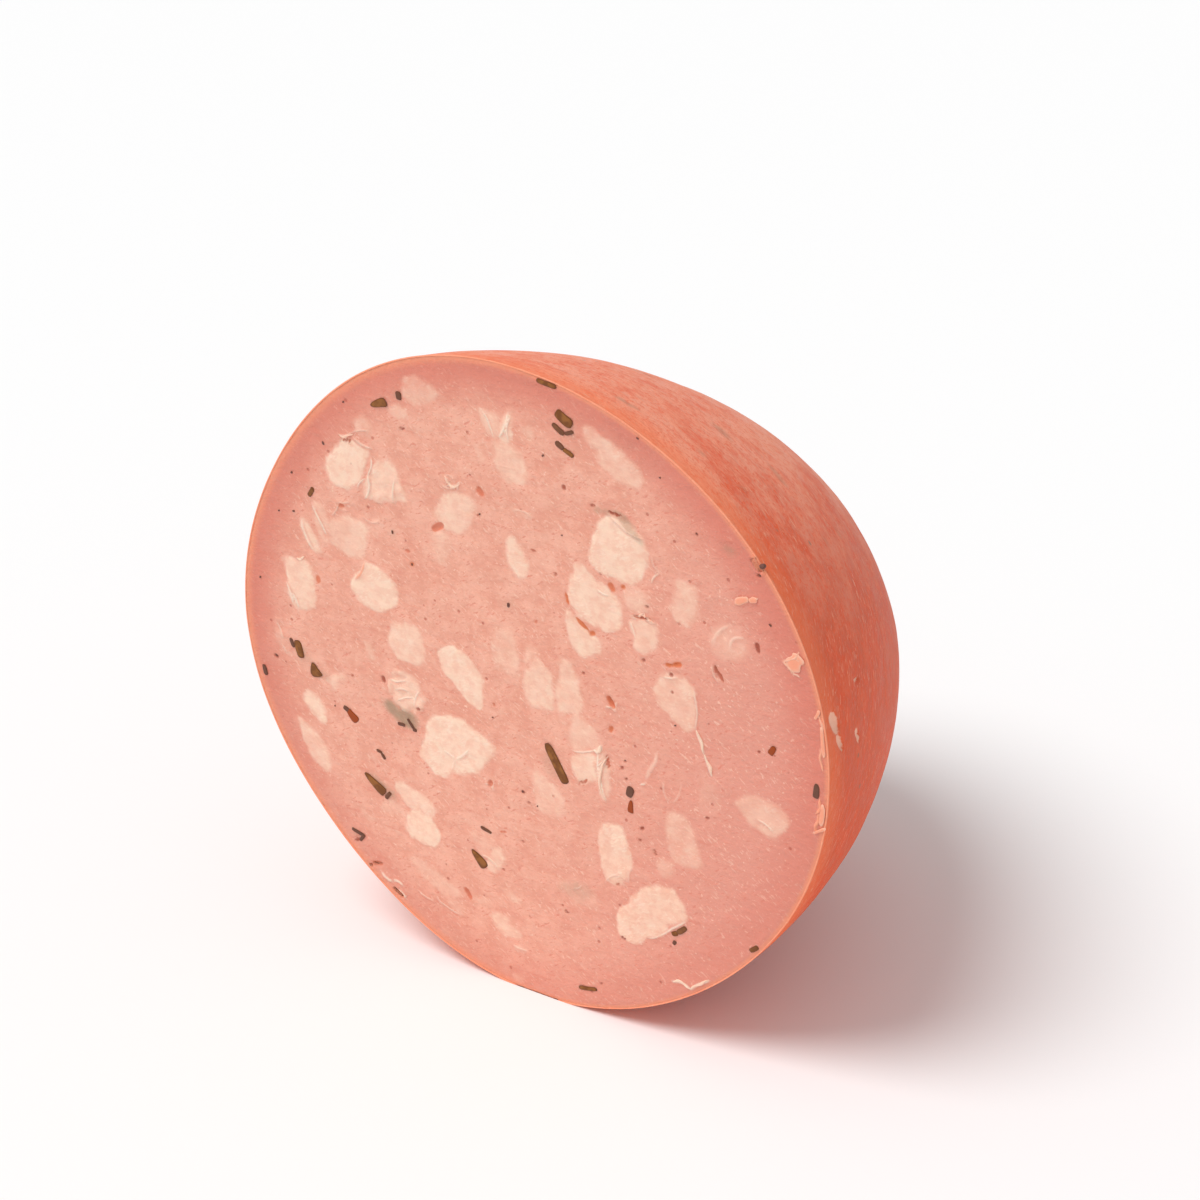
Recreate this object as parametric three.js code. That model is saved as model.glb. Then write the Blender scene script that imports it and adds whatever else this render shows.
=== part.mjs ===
// Half of a large mortadella, lying on its side with the cut face upright.
//
// Millimetres, +Z up. The origin is on the floor, under the middle of the bounding box.
// The cut face looks along -Y, and leans forward a little. The whole loaf was an ellipsoid
// with its long axis running back from the face, and dipping to where the round end touches down.

import * as THREE from 'three';
import { mergeVertices } from 'three/addons/utils/BufferGeometryUtils.js';

// The whole loaf
const LOAF_LENGTH = 320;
const LOAF_THICKNESS = 172.8;
const AXIS_TURN = 7; // degrees, from straight back towards -X
const AXIS_DIP = 16.8; // degrees, below level

// The cut
const CUT_PAST_MIDDLE = 16.3; // behind the loaf's middle, so that under half is left
const FACE_LEAN = 5.6; // degrees, top towards the front
const CUT_EDGE = 1.2; // chamfer between face and casing

// The cut isn't quite round: lobes of its outline, as [how many, share of the radius, degrees of a crest].
// They die out towards the far end.
const LOBES = [
  [3, 0.0053, 27],
  [4, 0.0094, 6],
  [5, 0.0049, -29],
];
const REST_FLAT_DEPTH = 1.6; // the base is pressed flat by its own weight

// Pieces of fat that stand out of the cut, from the face's centre, as [across, up, length, width, degrees]
const FAT_RISE = 0.9;
const FAT_SOFTNESS = 1.6; // width of a piece's sloping side
const FAT_PIECES = [
  [-47, 52, 16, 13, 65],
  [-37, 50, 14, 11, 80],
  [-50, 32, 13, 11, 0],
  [-44, 19, 15, 13, 20],
  [-67, 13, 16, 10, -75],
  [-35, 5, 12, 11, 90],
  [-18, 0, 20, 11, -55],
  [-24, -23, 24, 17, 10],
  [-69, -36, 17, 7, -65],
  [-36, -50, 12, 11, 0],
  [5, 5, 18, 9, 100],
  [14, 6, 14, 8, 90],
  [18, -12, 19, 9, 95],
  [24, -39, 19, 9, 90],
  [34, -54, 27, 15, 45],
  [31, 49, 19, 16, 80],
  [24, 33, 18, 14, 75],
  [35, 30, 17, 9, 85],
  [31, 73, 19, 8, -42],
  [45, 11, 14, 11, -70],
  [68, -14, 15, 10, -10],
];

// The drag marks of the knife, as one slanting wave
const KNIFE_WAVE = 0.25;
const KNIFE_WAVE_LENGTH = 19;
const KNIFE_WAVE_SLANT = 0.5; // rise for each step across
const SMOOTH_BORDER = 6; // the outer band of the face, where relief dies out

// Places where the cut tore, as [across, up, radius, depth]. The first one breaks the edge of the casing.
const TORN_PLACES = [
  [87, 15, 8, 2.2],
  [78, 32, 4, 1],
  [-37, -9, 6, 1.1],
  [-52, -68, 5, 1],
];

// How finely the skin of the solid is divided
const AROUND = 96;
const FACE_RINGS = 26;
const CASING_RINGS = 19;

const radians = THREE.MathUtils.degToRad;
const ROUND = LOAF_THICKNESS / 2;
const LONG = LOAF_LENGTH / 2;

const axis = new THREE.Vector3(
  -Math.sin(radians(AXIS_TURN)) * Math.cos(radians(AXIS_DIP)),
  Math.cos(radians(AXIS_TURN)) * Math.cos(radians(AXIS_DIP)),
  -Math.sin(radians(AXIS_DIP)),
);
const across = new THREE.Vector3(1, 0, 0);
const outward = new THREE.Vector3(0, -Math.cos(radians(FACE_LEAN)), -Math.sin(radians(FACE_LEAN)));
const upward = outward.clone().cross(across);

// The loaf is a ball of radius 1 stretched along its axis and round it.
function stretched(v, along, round) {
  return v.clone().multiplyScalar(round).addScaledVector(axis, v.dot(axis) * (along - round));
}

// The cut plane in the ball: its normal and its distance from the middle.
const ballNormal = stretched(outward, LONG, ROUND);
const ballCut = -CUT_PAST_MIDDLE / ballNormal.length();
ballNormal.normalize();
const rimAngle = Math.acos(-ballCut); // from the far pole to the rim
const faceCentre = stretched(ballNormal.clone().multiplyScalar(ballCut), LONG, ROUND);

// Share by which the outline stands out of an ellipse at an angle round the face.
function lobe(angle) {
  const shares = LOBES.map(([count, share, crest]) => share * Math.cos(count * (angle - radians(crest))));
  return shares.reduce((sum, share) => sum + share);
}

function faceDirection(angle) {
  return across.clone().multiplyScalar(Math.cos(angle)).addScaledVector(upward, Math.sin(angle));
}

function rimRadius(angle) {
  const inBall = stretched(faceDirection(angle), 1 / LONG, 1 / ROUND);
  return (Math.sin(rimAngle) / inBall.length()) * (1 + lobe(angle));
}

// 0 outside a patch, 1 well inside it, and a smooth slope between.
function patch(distanceInside, softness) {
  return THREE.MathUtils.smoothstep(distanceInside, 0, softness);
}

// How far a point lies inside a rounded oblong: positive inside, in millimetres.
function insideOblong(x, y, [cx, cy, length, width, degrees]) {
  const c = Math.cos(radians(degrees));
  const s = Math.sin(radians(degrees));
  const u = Math.abs((x - cx) * c + (y - cy) * s) / (length / 2);
  const v = Math.abs((y - cy) * c - (x - cx) * s) / (width / 2);
  return ((1 - Math.cbrt(u ** 3 + v ** 3)) * width) / 2;
}

function tornDepth(x, y) {
  const depths = TORN_PLACES.map(([cx, cy, radius, depth]) => {
    return depth * patch(radius - Math.hypot(x - cx, y - cy), radius);
  });
  return Math.max(...depths);
}

// Height of the cut face above its plane, at a place across and up from its centre.
function faceRelief(x, y, fromRim) {
  const wave = KNIFE_WAVE * Math.sin((2 * Math.PI * (x * KNIFE_WAVE_SLANT + y)) / KNIFE_WAVE_LENGTH);
  const insides = FAT_PIECES.map((piece) => insideOblong(x, y, piece));
  const fat = FAT_RISE * patch(Math.max(...insides), FAT_SOFTNESS);
  return (wave + fat) * patch(fromRim, SMOOTH_BORDER) - tornDepth(x, y);
}

// A point of the cut face: share is 0 at its centre and 1 at its edge.
function facePoint(share, angle) {
  const edge = rimRadius(angle) - CUT_EDGE;
  const r = share * edge;
  const relief = faceRelief(r * Math.cos(angle), r * Math.sin(angle), edge - r);
  return faceCentre.clone().addScaledVector(faceDirection(angle), r).addScaledVector(outward, relief);
}

// A point of the casing: share is 0 at the rim and 1 at the far pole.
function casingPoint(share, angle) {
  const r = rimRadius(angle);
  const setBack = CUT_EDGE + tornDepth(r * Math.cos(angle), r * Math.sin(angle));
  const polar = (rimAngle - setBack / LONG) * (1 - share);
  const side = stretched(faceDirection(angle), 1 / LONG, 1 / ROUND).normalize();
  const fade = (1 - share) ** 2;
  const inBall = ballNormal.clone().multiplyScalar(-Math.cos(polar));
  inBall.addScaledVector(side, Math.sin(polar) * (1 + lobe(angle) * fade));
  return stretched(inBall, LONG, ROUND);
}

// Lets the solid down onto the floor: what would be below it is pressed flat.
function pressFlat(geometry) {
  geometry.computeBoundingBox();
  const floor = geometry.boundingBox.min.z + REST_FLAT_DEPTH;
  const position = geometry.getAttribute('position');
  for (let i = 0; i < position.count; i += 1) {
    position.setZ(i, Math.max(position.getZ(i), floor));
  }
  geometry.computeBoundingBox();
  const { min, max } = geometry.boundingBox;
  geometry.translate(-(min.x + max.x) / 2, -(min.y + max.y) / 2, -min.z);
}

// A ball whose upper rows become the cut face, and whose lower rows become the casing.
function halfLoaf() {
  const rows = FACE_RINGS + CASING_RINGS;
  const ball = new THREE.SphereGeometry(1, AROUND, rows);
  const position = ball.getAttribute('position');
  for (let i = 0; i < position.count; i += 1) {
    const row = Math.floor(i / (AROUND + 1));
    const angle = (2 * Math.PI * ((i % (AROUND + 1)) % AROUND)) / AROUND;
    const onFace = row <= FACE_RINGS;
    const share = onFace ? row / FACE_RINGS : (row - FACE_RINGS - 1) / (CASING_RINGS - 1);
    const point = onFace ? facePoint(share, angle) : casingPoint(share, angle);
    position.setXYZ(i, point.x, point.y, point.z);
  }
  ball.deleteAttribute('normal');
  ball.deleteAttribute('uv');
  pressFlat(ball);
  return mergeVertices(ball, 1e-3);
}

function meat() {
  return new THREE.MeshStandardMaterial({ color: 0xeba58b, roughness: 0.55, metalness: 0 });
}

const group = new THREE.Group();
const mortadella = new THREE.Mesh(halfLoaf(), meat());
mortadella.name = 'mortadella';
group.add(mortadella);

export default group;
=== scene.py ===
"""Half of a large mortadella, lying on its side with the cut face towards the viewer.

The solid in the frame gives the place and the size. The pieces here give the surface: a casing, a cut face of
ground meat with pieces of fat, slivers of olive, pepper, pits and ridges, and the curls and flakes on it.
Sizes in the lists are millimetres, measured on the cut face from its centre: across to the right, and up.
Turns in the lists are degrees, from across towards up.
"""

import itertools
import math
from typing import NamedTuple

import bpy
import numpy as np
from bpy.props import FloatProperty, FloatVectorProperty, IntProperty, PointerProperty
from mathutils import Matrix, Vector


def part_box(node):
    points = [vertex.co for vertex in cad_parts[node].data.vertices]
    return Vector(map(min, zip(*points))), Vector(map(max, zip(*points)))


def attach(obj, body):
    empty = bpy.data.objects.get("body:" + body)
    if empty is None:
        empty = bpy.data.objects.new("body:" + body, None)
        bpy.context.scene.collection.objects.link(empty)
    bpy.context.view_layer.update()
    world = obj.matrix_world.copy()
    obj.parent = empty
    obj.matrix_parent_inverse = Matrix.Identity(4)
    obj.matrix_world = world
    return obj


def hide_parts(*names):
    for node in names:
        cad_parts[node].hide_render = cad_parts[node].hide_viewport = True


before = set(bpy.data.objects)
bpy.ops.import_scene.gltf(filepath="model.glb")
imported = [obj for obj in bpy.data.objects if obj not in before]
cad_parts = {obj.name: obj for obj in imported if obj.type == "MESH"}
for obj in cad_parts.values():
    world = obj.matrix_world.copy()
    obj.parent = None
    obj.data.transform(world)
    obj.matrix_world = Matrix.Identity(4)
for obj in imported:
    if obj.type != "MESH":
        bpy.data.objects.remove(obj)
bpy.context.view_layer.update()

bl_info = {
    "name": "Mortadella half",
    "version": (1, 0, 0),
    "blender": (4, 5, 0),
    "location": "3D View > Sidebar > Mortadella",
    "description": "Dresses a half mortadella with casing, meat, fat, olive slivers and pepper",
    "category": "Object",
}

NODE = "mortadella"
BODY = "root"
MM = 0.001
LATTICE = 64


def srgb(red, green, blue):
    """Colour as a screen shows it, 0 to 255, turned into the linear values that materials hold."""
    shares = [channel / 255 for channel in (red, green, blue)]
    return tuple(s / 12.92 if s <= 0.04045 else ((s + 0.055) / 1.055) ** 2.4 for s in shares)


# --------------------------------------------------------------------------------------------------
# What lies on the cut face and on the casing
# --------------------------------------------------------------------------------------------------


class Fat(NamedTuple):
    """A piece of fat: how white it shows, how far its edge wanders, and the corners of its outline."""

    white: float
    ragged: float
    corners: tuple


FAT = (
    Fat(0.5, 0.6, ((-28.7, 80.5), (-24, 81.4), (-18, 78.4), (-22, 75.4), (-25.4, 74), (-28.6, 74.8))),
    Fat(0.45, 0.5, ((-34.3, 70.5), (-31.5, 72.5), (-28.6, 71.8), (-28.4, 69.8), (-31.5, 69.4))),
    Fat(0.5, 0.5, ((-42.5, 66.5), (-40.2, 66), (-40, 62.5), (-44, 61.2), (-45, 64.5))),
    Fat(0.95, 0.5, ((-55.6, 50.5), (-51, 57.2), (-48, 59.2), (-41, 58), (-42.8, 54), (-43.5, 50),
                    (-47, 46.5), (-49.4, 44.3), (-53, 45.2), (-55.2, 47.5))),
    Fat(0.78, 1.2, ((-41.5, 51), (-39, 55), (-35.8, 56.8), (-33, 55), (-31.8, 50), (-30.5, 45.5), (-35, 45),
                    (-39.5, 44), (-44, 43.8), (-44, 48))),
    Fat(0.6, 0.7, ((-55.2, 35.5), (-46.5, 36.8), (-44.5, 35), (-44.9, 30.5), (-46, 26.3), (-49, 25.5),
                   (-55.8, 26.8), (-56.2, 31))),
    Fat(0.3, 0.5, ((-42.5, 38.3), (-38.5, 38), (-38, 34.5), (-42, 33.5))),
    Fat(0.85, 0.2, ((-64.8, 33.2), (-63.1, 32.4), (-60, 24.3), (-62.6, 24), (-65.3, 30.7))),
    Fat(0.55, 0.2, ((-61.2, 35.5), (-59.6, 34.4), (-57.6, 27.6), (-59.2, 26.4))),
    Fat(0.6, 0.2, ((-61, 37.5), (-59, 38.5), (-57.3, 37), (-55.8, 30), (-57, 29.5), (-60.5, 34.5))),
    Fat(0.95, 0.5, ((-45.8, 25.5), (-42.5, 24.8), (-39, 22.8), (-36.6, 20), (-36.8, 16), (-40, 12.8),
                    (-44.6, 11.3), (-50.2, 13.4), (-51.8, 16.2), (-51, 19), (-47, 22.5))),
    Fat(0.85, 0.8, ((-72.9, 18.9), (-71, 20), (-65.5, 20.2), (-63.6, 19), (-63, 14), (-63.4, 8.5),
                    (-65, 6.2), (-68, 5.2), (-70.5, 6.2), (-72.3, 11))),
    Fat(0.25, 1, ((-78.5, 0), (-75, 0), (-74.8, -9.5), (-77, -8))),
    Fat(0.7, 0.5, ((-38.5, 9.5), (-35, 10.5), (-31.5, 10), (-29.8, 6), (-29.8, 1), (-33, -0.8),
                   (-39.6, -0.5), (-40.6, 4))),
    Fat(0.95, 0.5, ((-25.8, 4.5), (-24.5, 6.5), (-20.8, 8.3), (-18, 7), (-15.5, 5.5), (-12.4, 1.5),
                    (-12.8, -7.8), (-14, -8.8), (-16.5, -8), (-19.8, -4.8), (-24.8, 1.5))),
    Fat(0.96, 0.5, ((-28.8, -14.3), (-20.3, -12.8), (-17, -14.2), (-12.6, -17), (-10.5, -19),
                    (-11.3, -21.8), (-15.9, -27.6), (-20.3, -29.5), (-24.5, -30.5), (-27, -32.5),
                    (-30, -32.7), (-35, -28.5), (-33.2, -24), (-31, -18.5))),
    Fat(0.68, 2, ((-43, -8.3), (-40, -5.3), (-35.5, -4), (-33, -5.5), (-31.5, -10), (-32, -13.5),
                  (-34.5, -16), (-38, -16), (-41, -13.2))),
    Fat(0.6, 0.3, ((-56.3, -10.6), (-58, -13), (-60.3, -16.8), (-61.2, -15.2), (-63.3, -14.6),
                   (-60.5, -12.2))),
    Fat(0.55, 0.2, ((-49, 1.2), (-47.6, 0.6), (-46.4, -3), (-47.4, -3.3))),
    Fat(0.85, 0.5, ((-71.4, -21), (-69.5, -19.2), (-66.5, -20.6), (-64.9, -22.8), (-64.5, -27.5),
                    (-65.8, -28.2), (-68.3, -25.8), (-70.8, -24))),
    Fat(0.75, 0.5, ((-73.6, -28.6), (-70.5, -29.8), (-67.3, -32.6), (-64.7, -37), (-64.6, -42),
                    (-66.6, -43.3), (-70.5, -39.5), (-73, -35.5))),
    Fat(0.85, 0.5, ((-43.3, -39.2), (-41.4, -38.4), (-38.8, -40), (-34, -40.6), (-31, -43.2), (-31.8, -47),
                    (-37, -45.6), (-40, -45.3), (-43.2, -41.5))),
    Fat(0.96, 0.5, ((-40.5, -47), (-37, -45.7), (-33.8, -46.5), (-31.5, -48.5), (-30, -52.2), (-31.5, -55),
                    (-36, -56), (-39.8, -55.2), (-41.2, -51.5))),
    Fat(0.35, 0.5, ((-48.3, -47.4), (-45.6, -46.3), (-41.1, -47.1), (-41.4, -49.3), (-45, -50.4),
                    (-48.9, -49.1))),
    Fat(0.35, 0.5, ((-56.1, -51.3), (-51.7, -53.2), (-52.2, -54.6), (-54.4, -53.8))),
    Fat(0.42, 0.8, ((-40.6, -62.1), (-37.2, -61.6), (-33.3, -63.2), (-25.6, -67.7), (-25.6, -69.9),
                    (-30, -70.2), (-34.4, -67.7), (-39.4, -64.9))),
    Fat(0.28, 0.5, ((-30, -70), (-25.5, -69.8), (-24.5, -73), (-26, -75.2), (-28.5, -73.5))),
    Fat(0.38, 0.5, ((-12.4, -61.8), (-9.7, -62.1), (-5.8, -64), (-7.4, -65.1), (-10.8, -64))),
    Fat(0.3, 0.5, ((-21.3, -67.3), (-16.9, -66.8), (-14.7, -68.4), (-19.7, -69.6))),
    Fat(0.66, 0.7, ((-16.3, -70.7), (-13.6, -69.6), (-10.8, -70.7), (-8.8, -74), (-6.9, -75.1),
                    (-10.8, -76.8), (-13.6, -75.7), (-15.5, -73.4))),
    Fat(0.7, 0.5, ((-13.5, -50), (-10.9, -49.5), (-10.4, -52.5), (-11.5, -56), (-13.5, -57.4),
                   (-15.6, -56.2), (-14.8, -53.5))),
    Fat(0.3, 0.8, ((-19.5, -46), (-14, -46.5), (-13.5, -51), (-15, -54), (-19, -51.5))),
    # Painted highlights of the wet cut, drawn as two small pale pieces of fat
    Fat(0.5, 0.3, ((-9, -78.6), (-5.6, -79), (-6, -80.2), (-9, -80.2))),
    Fat(0.4, 0.3, ((-10.5, -88), (-7.2, -88.2), (-7.4, -89.4), (-10, -89.4))),
    Fat(0.9, 0.5, ((20.1, -34), (21.2, -30.8), (23.5, -30), (26.6, -30.2), (28.3, -33), (29.5, -38),
                   (29.3, -42.5), (27.8, -45.5), (25.3, -48), (21.3, -47.8), (20, -44))),
    Fat(1, 0.5, ((30.3, -48.9), (33.4, -45.3), (41.2, -43.9), (42.3, -46.2), (44.3, -48.1), (44, -49.8),
                 (45.1, -51.4), (42.9, -53.1), (40.1, -55.3), (36.8, -59.2), (33.4, -60.9), (30.1, -64.2),
                 (26.8, -64.8), (24.3, -63.9), (23.7, -56.4), (27.9, -53.1))),
    Fat(0.5, 0.5, ((2.2, -21), (5.5, -23), (9.2, -25), (10.3, -28.5), (9.8, -32), (5, -34.8), (2.3, -32.5),
                   (1.2, -27.5))),
    Fat(0.52, 0.5, ((40.8, -22.5), (43, -21), (46, -22), (48.6, -27), (50, -33.5), (48.5, -35.2),
                    (43, -35.3), (40.8, -33), (40, -28))),
    Fat(0.4, 0.5, ((37.9, -35.9), (41.8, -35.9), (40.7, -40.3), (38.4, -41.4), (36.8, -38.7))),
    Fat(0.24, 1, ((6.2, -52.9), (15.3, -52.3), (19.2, -56.2), (14.2, -60.1), (8.1, -56.8))),
    Fat(0.48, 0.8, ((14.1, -1.4), (18.6, -1.4), (21.3, -5.3), (22.2, -8.1), (20.2, -9.8), (15.2, -12),
                    (13.3, -9.8), (14.1, -5.3))),
    Fat(0.88, 0.6, ((13.6, -14.2), (15.6, -12), (20.2, -10.3), (20.5, -18.7), (18, -19.8), (15.2, -20.9),
                    (13.6, -18.1))),
    Fat(0.7, 0.2, ((20.8, -9.3), (23.2, -9.6), (24.2, -15), (23.8, -20), (22.7, -23.8), (21.5, -23.5),
                   (20.7, -19))),
    Fat(0.42, 0.5, ((-8.3, 13), (-6.5, 17.3), (-2.2, 17), (-0.9, 11), (-0.4, 5.8), (-3, 4.6), (-7.5, 5.6),
                    (-8.5, 9.5))),
    Fat(0.7, 0.5, ((4.2, 12.5), (6.5, 11.2), (8.6, 8.5), (9.1, 3.5), (8.6, -1), (6.3, -2.7), (2.4, -2.9),
                   (0.8, -1), (0.7, 4.5), (1.3, 7.5), (3.5, 9.5))),
    Fat(0.35, 0.5, ((1.8, 14.7), (5, 14.3), (5, 11), (3, 9.5), (0.8, 9.5))),
    Fat(0.62, 0.5, ((11.5, 13), (13, 14.2), (14.8, 13.5), (16, 10), (17.5, 6), (18, 2.5), (16.5, -0.8),
                    (10, -1.8), (9.4, 2), (10.8, 6))),
    Fat(0.8, 0.3, ((-1.5, 43.2), (0.2, 44.8), (2.2, 42), (4.2, 39), (4.2, 36), (3, 33), (1.2, 32.7),
                   (-1, 35.5), (-2.2, 38.3))),
    Fat(0.38, 0.5, ((-23.8, 39), (-21, 40), (-18.8, 38), (-19, 35.7), (-20.7, 30.7), (-22.9, 30.7),
                    (-24.6, 33.4))),
    Fat(0.66, 0.5, ((-22.5, 44.5), (-20, 50.3), (-16, 52.3), (-10.5, 52), (-10, 50), (-12.5, 45), (-15, 41),
                    (-17, 40.6), (-21, 42))),
    Fat(0.6, 0.9, ((-6.8, 74.5), (-6, 77.5), (-3, 77), (-0.8, 75.5), (-1.5, 72.5), (-3, 70.2), (-4.8, 71))),
    Fat(0.7, 0.4, ((-1.8, 70.8), (-0.1, 75.5), (2.2, 78.3), (3, 77.8), (2.5, 73.5), (1.2, 70))),
    Fat(0.55, 0.5, ((-3.8, 70), (1, 69.8), (4.3, 67.3), (6.4, 63.5), (5.6, 60.8), (1.8, 59.4), (-1.5, 60.8),
                    (-3, 63.5), (-2.4, 67))),
    Fat(0.28, 0.5, ((6.4, 73), (7.6, 76.2), (8.8, 75), (8.2, 72.4))),
    Fat(0.28, 0.5, ((-9, 67.5), (-6.5, 66), (-5.5, 63.3), (-8, 64.5))),
    # A painted highlight streak of the wet cut, drawn as a pale piece of fat
    Fat(0.5, 0.3, ((0.5, 52.8), (2.5, 52), (7, 51.8), (5.5, 50.8), (2.5, 50.6), (1, 51.6))),
    Fat(0.6, 0.5, ((22.9, 78.5), (24.5, 79.8), (30.5, 76.8), (34.5, 74.7), (38.4, 70.8), (38.3, 68.6),
                   (36.5, 67), (33, 67.4), (28.5, 69.6), (26.6, 72), (26.4, 74), (23.8, 75.2))),
    Fat(0.98, 0.5, ((27.4, 57.4), (34.3, 56.4), (38.3, 53.8), (39, 48), (36.8, 41.5), (33, 39.8), (27, 41),
                    (23, 42.8), (22.4, 45.5), (23.8, 50.5), (25.2, 54.8))),
    Fat(0.5, 0.8, ((32.1, 39.6), (38, 39), (38.5, 35), (35, 33.8), (31.5, 35))),
    Fat(0.9, 0.7, ((15.2, 30.8), (16, 36), (18, 41), (20, 42.2), (23, 39.8), (26.5, 37.5), (30.3, 34.5),
                   (31, 30.5), (30, 26.5), (26, 25.6), (21.5, 26.3), (17, 28.5))),
    Fat(0.8, 0.5, ((32.8, 30.5), (36.5, 32), (40, 31.6), (40.2, 27.5), (39, 24), (36, 22.3), (33.8, 23.2),
                   (34.3, 26))),
    Fat(0.85, 0.4, ((14.5, 28.5), (16.5, 27), (21.5, 23), (23.8, 22), (23.5, 19), (21, 17.2), (18.8, 15.7),
                    (16, 17.5), (14.8, 21))),
    Fat(0.55, 0.3, ((46.7, 45.8), (52.4, 45), (52.2, 39), (51.3, 35), (49.3, 33), (47, 34), (45.2, 36),
                    (46, 40.5))),
    Fat(0.34, 0.5, ((55.7, 34), (60.4, 36.8), (63.8, 37.3), (65.4, 35.1), (65.4, 31.2), (62.7, 27.9),
                    (59.3, 26.8), (56.6, 27.9))),
    Fat(0.74, 0.8, ((41.5, 18.2), (46, 19), (48.5, 18), (50.3, 16), (51, 11.5), (50, 5), (47.5, 3.8),
                    (44, 5.8), (40, 10), (38.6, 13.8))),
    Fat(0.62, 0.3, ((60.3, -12.2), (62.6, -10.3), (66, -8.8), (71, -9.3), (74.9, -10.9), (75.1, -13.8),
                    (73, -17), (70.5, -19.6), (68.5, -19.3), (65, -17.4), (62.4, -14.3))),
    Fat(0.16, 0.5, ((52, -6.4), (55.3, -8.1), (56.2, -13.1), (54.2, -18.7), (50.9, -18.7), (50.3, -14.2))),
    Fat(0.18, 0.5, ((59, 23.4), (61.5, 21.4), (60.6, 19.6), (58.6, 21))),
    Fat(0.5, 0.2, ((60.8, 32.4), (61.8, 34.4), (64, 34.8), (65.2, 33), (64.6, 30.9), (62.4, 30.4))),
)


class Sliver(NamedTuple):
    """A sliver of olive, cut flush with the meat. Tone is 0 for olive brown, 0.5 for near black, 1 for red
    brown, and taper narrows the end that turn points away from."""

    across: float
    up: float
    length: float
    width: float
    turn: float
    tone: float = 0
    taper: float = 0


SLIVERS = (
    Sliver(17.8, 80.3, 5.2, 3.1, -33),
    Sliver(16, 77.2, 3.9, 1.5, -35, 0.25),
    Sliver(19, 76.9, 2.8, 1, 25, 0.3),
    Sliver(16, 72.9, 2.6, 1.6, -32, 0.3),
    Sliver(18.3, 71.5, 3.2, 1.4, -25, 0.1),
    Sliver(13.5, 88.4, 5.6, 1.4, -6),
    Sliver(-36.6, 71.6, 5.4, 2, 24, 0.12, 0.45),
    Sliver(-30.2, 75.2, 2.3, 1.8, 90, 0.3),
    Sliver(-61.2, 41, 3.4, 1.3, 57, 0.15),
    Sliver(-70.8, -7.2, 5.2, 2.6, -80),
    Sliver(-72.9, -5.9, 2.8, 1.1, -75, 0.5),
    Sliver(-66.3, -12.2, 4.2, 3, -75, 0, 0.6),
    Sliver(-83.2, -17, 3.2, 1.3, -80, 0.45),
    Sliver(-55.6, -22.8, 4.4, 2.5, -45, 0.9, 0.3),
    Sliver(-57.2, -21.4, 2.2, 1.6, -30, 0.45),
    Sliver(8.7, -17.2, 11.6, 2.8, -63, 0, 0.1),
    Sliver(-50.2, -41.8, 7.6, 2.7, -38, 0, 0.45),
    Sliver(-46.2, -44.3, 3, 1.2, 52, 0.3),
    Sliver(-18.3, -54.7, 5.9, 2.5, -48, 0, 0.5),
    Sliver(-57.6, -59.3, 4, 1.2, -14, 0.4),
    Sliver(-56.2, -60.6, 3, 1, 55, 0.42),
    Sliver(13.4, -84.2, 5.8, 1.3, 13),
    Sliver(43.3, -55.6, 3.8, 1.5, 42, 0.2),
    Sliver(41.1, -57.4, 2, 1.5, 25, 0),
    Sliver(40.8, -60.3, 1.5, 1, 60, 0.4),
    Sliver(64.3, -53.8, 3.2, 1.4, 42, 0.15),
    Sliver(83.3, -1.7, 4.2, 1.6, -95, 0.42, 0.2),
    Sliver(30.1, -18.9, 3.4, 2, 72, 0.42),
    Sliver(30.1, -23.2, 3.8, 1.5, 82, 0.9, -0.4),
    Sliver(71.4, 5.7, 3, 1.6, 58, 0.85, -0.2),
    Sliver(-47.7, -31.3, 1.8, 0.9, -12, 0.3),
    Sliver(-46.5, -32.4, 1.9, 0.9, -58, 0.3),
    Sliver(-15.2, -44.9, 3.5, 1, -13, 0.3),
    Sliver(-39.4, -20.5, 2.4, 1, 5, 0.5),
    Sliver(-36.4, -19.4, 3, 0.9, -55, 0.45),
    Sliver(-35.3, -21, 1.3, 1, 0, 0.5),
)


class Stain(NamedTuple):
    """Grey green that an olive or pepper gives the meat round it, and how deep its colour is."""

    across: float
    up: float
    length: float
    width: float
    turn: float
    depth: float


STAINS = (
    Stain(-40, -17.5, 13, 6, -15, 0.8),
    Stain(-48, -42, 12, 6, -40, 0.45),
    Stain(-45.6, -43.8, 4, 3, -40, 0.5),
    Stain(7, -19, 9, 6, -60, 0.3),
    Stain(-70, -8, 8, 7, -70, 0.35),
    Stain(-63.5, -13, 6, 3.5, -20, 0.35),
    Stain(18, 79, 8, 7, -30, 0.3),
    Stain(62.5, 57, 4.5, 4, 0, 0.4),
    Stain(12, -54.5, 12, 6, 10, 0.32),
    Stain(11.7, -53.3, 3, 2, 20, 0.4),
    Stain(-3, 25, 6, 5, 0, 0.22),
    Stain(17, -41, 6, 9, 0, 0.2),
    Stain(34, 55.5, 11, 2.6, -42, 0.5),
    Stain(27, 58, 5, 1.6, -8, 0.4),
    Stain(-58, -59.5, 6, 3, -10, 0.3),
    Stain(-30.3, 75.8, 4, 4, 0, 0.3),
    Stain(53.5, -12, 8, 7, 90, 0.15),
    Stain(43, -56, 7, 3, 38, 0.2),
    Stain(-37, 36, 2.5, 3.5, 0, 0.25),
)


class Pit(NamedTuple):
    """A small hole in the cut. Tone is 0 for dark red brown, 0.5 for pink and 1 for orange."""

    across: float
    up: float
    length: float
    width: float
    turn: float
    depth: float
    tone: float = 0


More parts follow.
